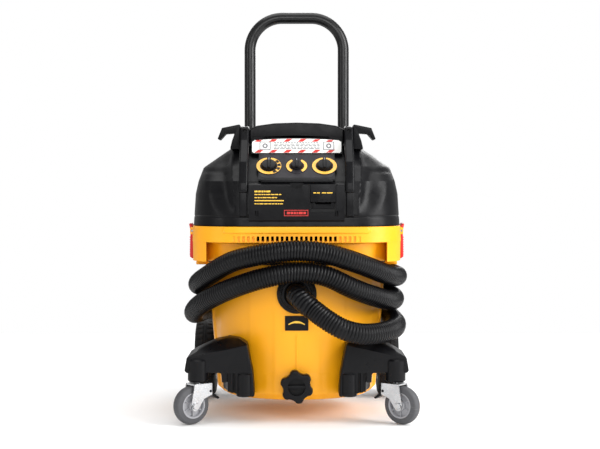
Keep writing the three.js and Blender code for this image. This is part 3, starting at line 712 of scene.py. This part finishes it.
def make_castor_arm(name, sign):
    x, y = CASTOR["x"] * sign, CASTOR["y"]
    arm = prism(filleted(mirrored(ARM_OUTLINE, sign), 5, 4), "y", ARM["front"], ARM["rear"], 3.5)
    arm = joined(arm, rod(ARM["boss"], 82, 127, x, y, "z", 64, 3.5),
                 rod(16, 54, 99, 102 * sign, -213, "z", 48, 2))
    slots = [block((centre - width, -232, 50), (centre + width, -214, 100), 1)
             for centre, width in ((132.5 * sign, 3.6), (122 * sign, 2.6))]
    (px, py, pz), (fx, fy, fz) = ARM_CHAMFER["point"], ARM_CHAMFER["facing"]
    tilt = Vector((fx * sign, fy, fz)).to_track_quat("Z", "Y").to_matrix().to_4x4()
    chamfer = moved(block((-150, -150, 0), (150, 150, 60)), Matrix.Translation((px * sign, py, pz)) @ tilt)
    arm = cut(arm, shell_block(TANK_LEVELS, 0.3), rod(ARM["sweep"], -1, 82, x, y, "z", 96), chamfer, *slots)
    piece(f"front_arm_{name}", arm, "tank", "black_plastic", replaces=f"castor_arm_{name}")
    cap = shifted(lathe([(0, 3.4), (7, 2.8), (9.5, 1.2), (9.5, -1), (0, -1)], 40), x, y, 127)
    piece(f"arm_cap_{name}", cap, "tank", "black_plastic", material="black_rubber")


def castor_frame(sign):
    """Where a castor stands: its stem on the origin, its axle along x and its wheel towards -y."""
    stem = Matrix.Translation((CASTOR["x"] * sign, CASTOR["y"], 0))
    return stem @ Matrix.Rotation(CASTOR["turn"] * sign, 4, "Z")


def make_castor(name, sign):
    axle = Matrix.Translation((0, -CASTOR["trail"], CASTOR["wheel"]))
    at_axle = castor_frame(sign) @ axle @ Matrix.Rotation(math.pi / 2, 4, "Y")
    piece(f"fork_{name}", cad_shape(f"castor_fork_{name}"), f"castor_{name}", "zinc_steel",
          replaces=f"castor_fork_{name}", bevel=1.1, segments=3, angle=40)
    bolt = [(0, -20.6), (5.6, -20.6), (6.4, -19.6), (6.4, -17.2), (3.9, -17.2), (3.9, 17.2), (6.4, 17.2),
            (6.4, 19.6), (5.6, 20.6), (0, 20.6)]
    piece(f"axle_bolt_{name}", moved(lathe(bolt, 36), at_axle), f"castor_{name}", "zinc_steel",
          replaces=f"castor_axle_{name}")
    make_castor_wheel(name, at_axle)
    piece(f"brake_lever_{name}", cad_shape(f"brake_pedal_{name}"), f"brake_{name}", "black_plastic",
          replaces=f"brake_pedal_{name}", bevel=1, segments=3, angle=40)


def wheel_ribs(count, rib_block):
    """Ribs on both faces of a wheel: rib_block(side) draws one, side -1 or 1, and it goes round the axle."""
    ribs = []
    for step in range(count):
        for side in (-1, 1):
            ribs.append(moved(rib_block(side), Matrix.Rotation(step * 2 * math.pi / count, 4, "Z")))
    return ribs


def make_castor_wheel(name, at_axle):
    half, rim = CASTOR["half"] - 1, CASTOR["wheel"]
    tyre = [(25.3, -half)]
    for step in range(13):
        angle = math.pi * (step / 12 - 0.5)
        tyre.append((rim - 5 + 5 * math.cos(angle), (half - 1.5) * math.sin(angle)))
    tyre += [(25.3, half), (25.3, -half)]
    piece(f"front_tyre_{name}", moved(lathe(tyre, 72), at_axle), f"castor_wheel_{name}", "grey_tyre",
          replaces=f"castor_tyre_{name}", angle=50)
    dish = [(4.6, 12), (8.5, 12), (10, 10.8), (10.5, 5), (21, 4), (22, 10), (23, 11), (25, 11)]
    hub = [(radius, -height) for radius, height in dish] + dish[::-1] + [(4.6, -12)]

    def spoke(side):
        low, high = sorted((side * 3.6, side * 8.2))
        return block((9.6, -1.1, low), (22.2, 1.1, high), 0.5, 1)
    wheel = merged(lathe(hub, 60), *wheel_ribs(6, spoke))
    piece(f"front_hub_{name}", moved(wheel, at_axle), f"castor_wheel_{name}", "grey_hub",
          replaces=f"castor_hub_{name}")


def tread(angle, radius, height):
    """The rear tyre's radius: shoulder blocks cut a little lower between them."""
    if radius < REAR["wheel"] - 1.5 or abs(height) < 9:
        return radius
    return radius - 2.2 * (math.sin(angle * 36) > 0.55)


def make_rear_wheel(name, sign):
    middle = (REAR["inner"] + REAR["outer"]) / 2 * sign
    axle = Matrix.Translation((middle, REAR["y"], REAR["wheel"]))
    place = axle @ Matrix.Rotation(math.pi / 2 * sign, 4, "Y")
    half = (REAR["outer"] - REAR["inner"]) / 2
    outer, hub = REAR["wheel"], REAR["hub"]
    side = [(hub + 0.3, half), (outer - 16, half), (outer - 13, half - 1.4), (outer - 8, half - 1.2),
            (outer - 3.5, half - 3.5), (outer - 0.8, half - 7), (outer, half - 10), (outer, 9), (outer, 4.5),
            (outer - 2, 4), (outer - 2, 2), (outer, 1.5)]
    profile = side + [(radius, -height) for radius, height in reversed(side)] + [side[0]]
    tyre = lathe(profile, 216, tread)
    body = f"rear_wheel_{name}"
    piece(f"rear_tread_{name}", moved(tyre, place), body, "black_tyre", replaces=f"rear_tyre_{name}",
          angle=35)
    face = half - 1
    dish = [(6.8, face), (17, face), (20, face - 1.5), (20.5, 5), (43, 4), (45, face - 2), (46.5, face),
            (hub, face)]
    dish += [(radius, -height) for radius, height in reversed(dish)] + [dish[0]]

    def spoke(facing):
        low, high = sorted((facing * 3.5, facing * (face - 5)))
        return block((19.5, -1.8, low), (46, 1.8, high), 0.8, 2)
    rim = merged(lathe(dish, 96), *wheel_ribs(8, spoke))
    piece(f"rear_rim_{name}", moved(rim, place), body, "black_plastic", replaces=f"rear_hub_{name}")
    cap = [(0, face + 3), (8, face + 2.6), (13, face + 1), (14, face - 0.2), (14, face - 3), (6.8, face - 3),
           (6.8, face - 0.8), (0, face - 0.8)]
    piece(f"hub_cap_{name}", moved(lathe(cap, 48), place), body, "black_plastic", material="black_rubber")


def make_running_gear():
    for name, sign in SIDES.items():
        make_castor_arm(name, sign)
        make_castor(name, sign)
        make_rear_wheel(name, sign)
    piece("rear_frame", cad_shape("rear_chassis"), "tank", "black_plastic", replaces="rear_chassis",
          bevel=2.5, segments=3, angle=40)


# ---- inlet and drain ----------------------------------------------------------------------------
def make_inlet():
    place = Matrix.Translation((0, INLET["front"], INLET["z"])) @ Matrix.Rotation(math.pi / 2, 4, "X")
    flange = [(27, -13), (39, -13), (39, 7.5), (38, 9), (34, 10.2), (33, 12), (29, 12), (27, 10.5), (27, -13)]
    body = cut(moved(lathe(flange, 96), place), shell_block(TANK_LEVELS, 0.3))
    piece("inlet_collar", body, "tank", "black_plastic", replaces="inlet_flange")
    ring = [(23.6, 12.4), (28.5, 12.4), (30, 13.6), (30, 20.6), (28.5, 22.3), (24.6, 22.3), (23.6, 21.4),
            (23.6, 12.4)]

    def grips(angle, radius, height):
        return radius - (0.9 * (math.cos(angle * 20) < -0.2) if radius > 29 and 13 < height < 21 else 0)
    piece("inlet_ring", moved(lathe(ring, 160, grips), place), "inlet_lock", "black_plastic",
          replaces="inlet_lock_ring")
    for turn in (0, 1):
        lug = block((29, -5, 13.5), (35, 5, 19), 1.5)
        lug = moved(lug, place @ Matrix.Rotation(turn * math.pi, 4, "Z"))
        piece(f"inlet_lug_{turn}", lug, "inlet_lock", "black_plastic")


def make_drain():
    count = 144
    outline = []
    for step in range(count):
        angle = 2 * math.pi * step / count
        lobe = math.cos(6 * (angle - math.radians(DRAIN["turned"])))
        radius = DRAIN["knob"] - DRAIN["wave"] + DRAIN["wave"] * math.copysign(abs(lobe) ** 0.6, lobe)
        outline.append((radius * math.cos(angle), DRAIN["z"] + radius * math.sin(angle)))
    back, z = DRAIN["back"], DRAIN["z"]
    knob = prism(outline, "y", back - DRAIN["grip"], back, 3.5, 4)
    knob = cut(knob, rod(17, back - 30, back - 11, 0, z, "y", 64))
    knob = joined(knob, block((-17.5, back - 19.5, z - 3.4), (17.5, back - 9, z + 3.4), 1.2),
                  rod(DRAIN["neck"], back - 2, DRAIN["face"] + 26, 0, z, "y", 64))
    piece("drain_cap", knob, "drain_knob", "black_plastic", replaces="drain_knob", angle=40)


# ---- motor head ---------------------------------------------------------------------------------
LATCH = {"x": 216.6, "z": 372, "front": -40, "rear": 20}
LATCH_OUTLINE = [(212.2, 318), (216, 314), (221.5, 318), (220.4, 372), (223.2, 386), (220.6, 387.5),
                 (213.7, 377), (212.2, 374)]
VENT = {"pitch": 9.4, "half": 2.7, "bottom": 355.4, "top": 366.5, "count": 29}
SOCKET_X = 51.5
FILTER = {"x": 78, "y": -32}


def ring_relief(point, out):
    """A raised bar with round ends along the top of the ring's front."""
    if out.y > -0.2:
        return 0.0
    reach = math.hypot(max(abs(point.x) - 138, 0), point.z - 378.4)
    return 2.2 * (1 - smooth_step(5.4, 6.8, reach))


def make_head_ring():
    heights = [315.6, 317, 335, 351, 352.2, 353.4, 354.4, 355.6, 360, 368, 371, 371.8, 372.6, 373.4, 375, 378,
               381, 383.2, 384, 384.6]
    outer = [shell_points(RING_LEVELS, z, RING_FINENESS, relief=ring_relief) for z in heights]
    base = shell_points(RING_LEVELS, 315, RING_FINENESS, -1)
    top = shell_points(RING_LEVELS, 385, RING_FINENESS, -0.6)
    inner = [lifted(shell_points(RING_LEVELS, z - WALL, RING_FINENESS, -WALL), z)
             for z in (385, 372, 359, 357.6, 356, 340, 320, 319)]
    body = skin([base] + outer + [top] + inner)
    extras, holes = [], []
    for sign in SIDES.values():
        near, far = sorted((178 * sign, 230 * sign))
        skirt = [(315.5, 209, -218, 188, 105), (358, 209.3, -219.4, 188, 105)]
        side = combined(block((near, -230, 300), (far, 60, 370)), "INTERSECT", shell_block(skirt))
        extras.append(cut(side, shell_block(TANK_LEVELS, 2)))
        near, far = sorted((203 * sign, (LATCH["x"] + 4) * sign))
        for front, rear in ((-46, -40.3), (20.3, 26)):
            extras.append(block((near, front, 364.6), (far, rear, 379.4), 1.6))
        holes.append(rod(2.6, -70, 50, LATCH["x"] * sign, LATCH["z"], "y", 24))
        holes.append(rod(42, 300, 340, FILTER["x"] * sign, FILTER["y"], "z", 96))
    slots = []
    for step in range(VENT["count"]):
        x = (step - (VENT["count"] - 1) / 2) * VENT["pitch"]
        blind = abs(x) > 80
        slots.append(block((x - VENT["half"], -240, VENT["bottom"]),
                           (x + VENT["half"], -216.7 if blind else -209, VENT["top"]), 0.9, 2))
    body = cut(joined(body, *extras), *holes, merged(*slots))
    piece("base_ring", body, "head", "yellow_plastic", replaces="head_ring", angle=30)


def crease(z):
    """How far out the fold beside the control column stands at a height."""
    return 120.7 + (z - 413.7) * 0.087


def cover_relief(point, out):
    """Scooped shoulders on both sides of the front, and a shallow groove over the base band."""
    groove = -1.1 * math.exp(-(((point.z - 404.5) / 1.3) ** 2))
    side = abs(point.x)
    if out.y > -0.05 or side < crease(point.z):
        return groove
    edge = level_at(COVER_LEVELS, point.z)[0]
    if point.z < 492:
        edge = 138 + 44 * math.sqrt(max(0.0, 1 - ((492 - point.z) / 88) ** 2)) if point.z > 404 else 0
    if side > edge:
        return groove
    across = (side - crease(point.z)) / max(edge - crease(point.z), 1)
    depth = 11 * math.sin(math.pi * across ** 0.75) ** 1.3
    depth *= smooth_step(398, 452, point.z) * (1 - smooth_step(505, 545, point.z))
    return groove - depth


def make_head_cover():
    heights = [386.6, 390, 395, 400, 402, 403, 404, 405, 406, 408] + list(range(411, 544, 3)) + [545]
    outer = [shell_points(COVER_LEVELS, z, COVER_FINENESS, relief=cover_relief) for z in heights]
    first = shell_points(COVER_LEVELS, 385.3, COVER_FINENESS, -1.2)
    last = [shell_points(COVER_LEVELS, z, COVER_FINENESS, grow) for z, grow in ((546.4, -1), (547, -3))]
    inner = [lifted(shell_points(COVER_LEVELS, 543, COVER_FINENESS, -5), 542.5)]
    for z in range(538, 386, -8):
        inner.append(shell_points(COVER_LEVELS, z, COVER_FINENESS, relief=cover_relief, wall=WALL))
    rim = shell_points(COVER_LEVELS, 385.3, COVER_FINENESS, -WALL)
    body = skin(inner + [rim, first] + outer + last)
    window = block((SOCKET_X - 22.3, -240, 419.7), (SOCKET_X + 22.3, -170, 464.3))
    gland_hole = rod(8.3, 170, 200, -62, 428, "y", 32)
    vents = [block((x - 2.2, 176, 446), (x + 2.2, 200, 486), 1.5, 2) for x in range(-66, 67, 12)]
    body = cut(body, window, gland_hole, merged(*vents))
    piece("motor_cover", body, "head", "black_plastic", replaces="head_cover", angle=26)


def make_latch(name, sign):
    body = prism(filleted(mirrored(LATCH_OUTLINE, sign), 1.4, 3), "y", LATCH["front"], LATCH["rear"], 0.6, 2)
    body = cut(body, rod(2.6, -60, 40, LATCH["x"] * sign, LATCH["z"], "y", 24))
    grips = []
    for step in range(8):
        near, far = sorted((219.6 * sign, 222.6 * sign))
        z = 322 + 5 * step
        grips.append(block((near, LATCH["front"] + 5, z), (far, LATCH["rear"] - 5, z + 2.2), 0.7, 2))
    piece(f"red_latch_{name}", merged(body, *grips), f"latch_{name}", "red_plastic", replaces=f"latch_{name}")


def make_filter(name, sign):
    x, y = FILTER["x"] * sign, FILTER["y"]

    def pleats(angle, radius, height):
        return radius - (3.2 * (0.5 + 0.5 * math.cos(48 * angle)) if radius > 55 and 6 < height < 92 else 0)
    profile = [(0, 0), (60, 0), (62, 1.5), (62, 6), (60.5, 6.2), (60.4, 91.8), (62, 92), (62, 100.6),
               (36, 100.6), (36, 8), (0, 8)]
    body = shifted(lathe(profile, 384, pleats), x, y, 214)
    piece(f"pleated_filter_{name}", body, "head", "filter_media", replaces=f"filter_{name}")
    cap = shifted(lathe([(0, -3), (20, -3), (24, -1), (24, 0.5), (0, 0.5)], 64), x, y, 213.6)
    piece(f"filter_foot_{name}", cap, "head", "filter_media", material="black_rubber")


def make_gland():
    profile = [(0, -10), (8, -10), (8, 1), (13, 1), (13.6, 2.4), (13, 7), (9.4, 9)]
    for step in range(5):
        z, crest, root = 10.5 + 3.2 * step, 8.6 - 0.5 * step, 7.2 - 0.4 * step
        profile += [(crest, z), (crest, z + 1.6), (root, z + 1.8), (root, z + 3)]
    profile += [(6.2, 26.4), (4.6, 26.4), (4.5, -6), (0, -6)]
    place = Matrix.Translation((-62, 186.6, 428)) @ Matrix.Rotation(-math.pi / 2, 4, "X")
    piece("cord_gland", moved(lathe(profile, 48), place), "head", "black_rubber", replaces="cable_gland")


# ---- control column -----------------------------------------------------------------------------
CONSOLE_PROFILE = [(-209, 474), (-206, 478), (-151, 527), (-143, 531), (-112, 531), (-150, 474)]
LABEL_BACKING = [(-144.5, 528), (-134, 561), (-129, 561), (-126.5, 535), (-126.5, 528)]
PANEL_PROFILE = [(-217, 396), (-217, 466), (-208, 470.5), (-180, 470.5), (-180, 396)]
FLAP = {"half": 25, "top": 469, "bottom": 433, "recess": 414}
DIAL_FRAME = Matrix.Translation((0, -178, 503)) @ Matrix.Rotation(math.radians(42), 4, "X")
LABEL_FRAME = Matrix.Translation((0, -139.9, 544.5)) @ Matrix.Rotation(math.radians(72.35), 4, "X")


def on_cover(bm, *tools):
    return cut(bm, shell_block(COVER_LEVELS, 0.3), *tools)


def print_bars(rows, height, face):
    """Rows of short bars that stand for small print; each row is (left, right, z)."""
    bars = []
    for number, (left, right, z) in enumerate(rows):
        x, word = left, 0
        while x < right - 1.5:
            width = 3.0 + (21 + number * 5 + word * 11) % 6
            end = min(x + width, right)
            bars.append(block((x, face - 0.16, z - height / 2), (end, face + 0.3, z + height / 2)))
            x, word = end + 1.2, word + 1
    return bars


def make_console():
    desk = prism(filleted(CONSOLE_PROFILE, 3, 4), "x", -75, 75)
    backing = prism(filleted(LABEL_BACKING, 1.2, 3), "x", -91, 91)
    piece("console_desk", on_cover(joined(desk, backing)), "head", "black_plastic",
          replaces="control_console", bevel=1.2, angle=26)
    face = filleted([(-72, -34), (72, -34), (73, 34), (-73, 34)], 12, 8)
    plate = moved(prism(face, "z", -0.6, 0.45), DIAL_FRAME)
    piece("dial_face", plate, "head", "black_plastic", material="console_grey")
    skirt = block((-70, -212, 471), (70, -196, 477), 2)
    piece("console_skirt", on_cover(skirt), "head", "black_plastic")


def sector(inner, outer, start, end):
    """A ring sector between two angles in degrees."""
    steps = max(4, int(abs(end - start) / 4))
    turns = [math.radians(start + (end - start) * k / steps) for k in range(steps + 1)]
    outline = [(outer * math.cos(a), outer * math.sin(a)) for a in turns]
    return outline + [(inner * math.cos(a), inner * math.sin(a)) for a in reversed(turns)]


DIALS = {
    "hose_size": {"x": -54.8, "scale": 25.2, "knob": 15, "gold": [(100, 440)],
                  "black": [(-66 + 31 * k, -44 + 31 * k) for k in range(4)]},
    "cleaning_mode": {"x": 0, "scale": 21.5, "knob": 12.5, "gold": [(118, 236), (62, -56)], "black": []},
    "suction_power": {"x": 54.8, "scale": 25.2, "knob": 15, "gold": [(96, 444)], "black": []},
}


def make_dial(name, dial):
    place = DIAL_FRAME @ Matrix.Translation((dial["x"], 0, 0))
    outer, inner = dial["scale"], dial["knob"] + 2.5
    disc = lathe([(0, 0.6), (outer, 0.6), (outer, 1.1), (outer - 0.5, 1.5), (0, 1.5)], 96)
    piece(f"{name}_disc", moved(disc, place), "head", "dial_yellow", material="console_grey",
          replaces=f"{name}_scale")
    gold = [prism(sector(inner, outer - 0.8, *span), "z", 1.4, 1.85) for span in dial["gold"]]
    piece(f"{name}_band", moved(merged(*gold), place), "head", "dial_yellow")
    if dial["black"]:
        marks = [prism(sector(inner + 0.4, outer - 1.6, a, b), "z", 1.7, 2.0) for a, b in dial["black"]]
        piece(f"{name}_marks", moved(merged(*marks), place), "head", "dial_yellow", material="black_plastic")
    make_knob(name, dial["knob"], place)


def make_knob(name, radius, place):
    profile = [(0, 2.2), (radius, 2.2), (radius, 4), (radius - 0.5, 6.5), (radius - 1.4, 7.8),
               (radius - 2.6, 8.2), (0, 8.2)]

    def flutes(angle, reach, height):
        return reach - (0.5 * (0.5 + 0.5 * math.cos(24 * angle)) if reach > radius - 1 and height > 3 else 0)
    grip = block((-3.4, -radius + 0.4, 6), (3.4, radius - 0.4, 12), 1.6, 3)
    body = joined(lathe(profile, 144, flutes), grip)
    body_name = f"{name}_knob"
    piece(f"{name}_dial", moved(body, place), body_name, "black_plastic", replaces=body_name)
    pointer = block((-0.9, radius * 0.45, 11.6), (0.9, radius - 2, 12.2), 0.25, 1)
    piece(f"{name}_pointer", moved(pointer, place), body_name, "black_plastic", material="print_grey")


def label_top(x):
    """The label's arched upper edge."""
    return 15 - 4 * (abs(x) / 89) ** 2


def make_label():
    top = [(x, label_top(x)) for x in range(84, -85, -7)]
    outline = [(-86, -15), (86, -15), (89, -12), (89, 8)] + top + [(-89, 8), (-89, -12)]
    piece("rating_label", moved(prism(outline, "z", 0.3, 1.2), LABEL_FRAME), "head", "label_white",
          replaces="class_label")
    stripes = []
    for step in range(6):
        x = -84 + step * 28.5
        for low, high in ((-14.6, -8.4), (8.4, label_top(x + 12) - 0.4)):
            lean = (high - low) * 1.2
            outline = [(x, low), (x + 11, low), (x + 11 + lean, high), (x + lean, high)]
            stripes.append(prism(outline, "z", 1.1, 1.36))
    piece("label_stripes", moved(merged(*stripes), LABEL_FRAME), "head", "label_white", material="print_red")
    prints = []
    for low, high in ((-74, -52), (53, 75)):
        edges = [(low, -9, high, -7.4), (low, 7, high, 8.6), (low, -8, low + 1.6, 7.6),
                 (high - 1.6, -8, high, 7.6)]
        prints += [block((a, b, 1.1), (c, d, 1.38)) for a, b, c, d in edges]
        symbol = lathe([(2.4, 1.1), (5.4, 1.1), (5.4, 1.38), (2.4, 1.38), (2.4, 1.1)], 40)
        prints.append(shifted(symbol, (low + high) / 2, -0.2, 0))
    for number, y in enumerate((6.6, 3.4, 0.2, -3.0, -6.2)):
        x, word = -45, 0
        while x < 44:
            width = 4 + (number * 5 + word * 7) % 7
            end = min(x + width, 46)
            prints.append(block((x, y - 0.9, 1.1), (end, y + 0.9, 1.34)))
            x, word = end + 1.6, word + 1
    piece("label_print", moved(merged(*prints), LABEL_FRAME), "head", "label_white", material="print_grey")


def make_front_panel():
    edge = FLAP["half"] + 0.3
    panel = prism(filleted(PANEL_PROFILE, 3, 4), "x", -93, 93)
    tools = [block((SOCKET_X - edge, -230, FLAP["recess"]), (SOCKET_X + edge, -190, FLAP["top"]), 1.5),
             rod(13.5, -230, -209, 0, 472, "y", 64),
             rod(1.9, SOCKET_X - 29, SOCKET_X + 29, -214.5, 466.5, "x", 24),
             block((23.4, -222, 390), (24.4, -216, 480))]
    for x in (-79.5, -75.5, 75.5, 79.5):
        tools.append(block((x - 1.1, -222, 405), (x + 1.1, -212, 416), 0.8, 2))
    piece("front_fascia", on_cover(panel, *tools), "head", "black_plastic", replaces="front_panel", bevel=0.8)
    rows = [(-82, -49, 453.8)] + [(-82, right, 453.8 - 6 * k) for k, right in ((1, -30), (2, -38), (4, -27))]
    bars = print_bars(rows[:1], 3.2, -217) + print_bars(rows[1:], 1.9, -217)
    bars.append(block((-82, -217.16, 434.9), (-25, -216.7, 436.9)))
    piece("fascia_print", merged(*bars), "head", "black_plastic", material="print_yellow")
    tag = block((-24.5, -217.14, 406), (22.5, -216.7, 417.8))
    piece("fascia_tag", tag, "head", "black_plastic", material="print_red")
    piece("fascia_tag_face", block((-23.3, -217.3, 407.2), (21.3, -217, 416.6)), "head", "black_plastic")
    tag_print = merged(*print_bars([(-19, 18, 411.9)], 4.6, -217.3))
    piece("fascia_tag_print", tag_print, "head", "black_plastic", material="print_red")


def make_outlet():
    socket = cad_shape("outlet_socket")
    piece("power_socket", socket, "head", "black_plastic", replaces="outlet_socket", bevel=0.8)
    key = block((SOCKET_X - 3, -199, 440), (SOCKET_X + 3, -194, 444))
    contacts = [rod(2.5, -198, -190, SOCKET_X + side * 8, 442, "y", 20) for side in (-1, 1)]
    insert = cut(joined(rod(12.2, -196, -188, SOCKET_X, 442, "y", 48), key), *contacts)
    piece("socket_insert", insert, "head", "black_plastic", material="console_grey")
    x, half = SOCKET_X, FLAP["half"]
    lid = joined(block((x - half, -216.8, FLAP["bottom"]), (x + half, -213.2, FLAP["top"] - 1), 1.2),
                 rod(1.6, x - half - 3, x + half + 3, -214.5, 466.5, "x", 24),
                 block((x - 12, -220, FLAP["bottom"]), (x + 12, -215, FLAP["bottom"] + 3), 0.9))
    piece("socket_lid", lid, "outlet_flap", "black_plastic", replaces="outlet_flap")
    spans = ((32.6, 38), (39.4, 45), (49, 57), (58.6, 69.6))
    dashes = [block((low, -217, 450), (high, -216.6, 452)) for low, high in spans]
    piece("socket_lid_print", merged(*dashes), "outlet_flap", "black_plastic", material="print_yellow")


# ---- handles and hooks --------------------------------------------------------------------------
GRAB_OUTLINE = [(94.8, 578), (80, 585.5), (45, 590.5), (0, 592), (-45, 590.5), (-80, 585.5), (-94.8, 578),
                (-94.8, 547.3), (-86, 547.3), (-77, 554), (-62, 560.5), (0, 563), (62, 560.5), (77, 554),
                (86, 547.3), (94.8, 547.3)]
PILLAR_PROFILE = [(-218, 450), (-215, 470), (-196, 512), (-150, 556), (-136, 583), (-96, 586), (-90, 560),
                  (-90, 545), (-150, 470), (-190, 450)]
HOOK_OUTLINE = [(113.4, 588.5), (150, 581), (159, 558.5), (154, 557), (143, 569.5), (124, 571), (130, 555),
                (134, 538), (113.4, 538)]
HANDLE = {"x": 104.7, "y": 205, "tube": 12.5, "crest": 841, "foot": 492, "corner": 72}


def make_top_fittings():
    grab = prism(filleted(GRAB_OUTLINE, 4, 5), "y", -126, -98, 3, 4)
    piece("carry_handle", grab, "head", "black_plastic", replaces="grab_handle", angle=40)
    for name, sign in SIDES.items():
        near, far = sorted((95.2 * sign, 113 * sign))
        post = prism(filleted(PILLAR_PROFILE, 9, 6), "x", near, far, 4.5, 4)
        foot = block((near + 1, -213.5, 405), (far - 1, -195, 452), 2)
        post = joined(post, foot)
        screw_hole = rod(4.2, -160, -130, (near + far) / 2, 574, "y", 32)
        piece(f"column_post_{name}", on_cover(post, screw_hole), "head", "black_plastic",
              replaces=f"pillar_{name}", angle=40)
        hook = prism(filleted(mirrored(HOOK_OUTLINE, sign), 3, 4), "y", -128, -78, 1.6, 3)
        piece(f"cable_hook_{name}", on_cover(hook), "head", "black_plastic", replaces=f"cord_hook_{name}",
              angle=40)


def make_push_handle():
    x, y, crest, corner = HANDLE["x"], HANDLE["y"], HANDLE["crest"], HANDLE["corner"]
    leg = [HANDLE["foot"] + 4 * k for k in range(int((crest - corner - HANDLE["foot"]) / 4))]
    path = [Vector((-x, y, z)) for z in leg]
    for side, start in ((-1, math.pi), (1, math.pi / 2)):
        for step in range(25):
            angle = start - step / 24 * math.pi / 2
            path.append(Vector((side * (x - corner) + corner * math.cos(angle), y,
                                crest - corner + corner * math.sin(angle))))
        if side < 0:
            path += [Vector((t, y, crest)) for t in range(int(corner - x) + 4, int(x - corner), 4)]
    path += [Vector((x, y, z)) for z in reversed(leg)]
    body = sweep(path, [HANDLE["tube"]] * len(path), 48)
    piece("push_bar", body, "push_handle", "black_steel", replaces="push_handle", angle=50)
    for name, sign in SIDES.items():
        sleeve = [(13.3, 318), (16.4, 318), (16.4, 584), (17.4, 585), (17.4, 595), (16.6, 596),
                  (14.2, 596), (13.3, 595), (13.3, 318)]
        tube = shifted(lathe(sleeve, 64), x * sign, y, 0)
        brackets = [block((x * sign - 9, 183.5, z), (x * sign + 9, 192, z + 26), 2) for z in (398, 470)]
        piece(f"handle_sleeve_{name}", merged(tube, *brackets), "head", "black_plastic",
              replaces=f"handle_guide_{name}")


# ---- assembly -----------------------------------------------------------------------------------
KEPT_NODES = {
    "tank_seal": "black_rubber", "drain_seal": "black_rubber", "motor_housing": "black_plastic",
    "fan_rotor": "motor_metal", "circuit_board": "circuit", "rear_axle": "zinc_steel",
    "latch_pin_left": "zinc_steel", "latch_pin_right": "zinc_steel",
}


def finish_kept_nodes():
    for node, material in KEPT_NODES.items():
        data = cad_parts[node].data
        data.materials.clear()
        data.materials.append(MATERIALS[material])


MATERIALS = make_materials()
make_camera()
make_hose()
make_studio()
make_tank()
make_running_gear()
make_inlet()
make_drain()
make_head_ring()
make_head_cover()
make_gland()
make_console()
for dial_name, dial_facts in DIALS.items():
    make_dial(dial_name, dial_facts)
make_label()
make_front_panel()
make_outlet()
make_top_fittings()
make_push_handle()
for side_name, side_sign in SIDES.items():
    make_latch(side_name, side_sign)
    make_filter(side_name, side_sign)
finish_kept_nodes()
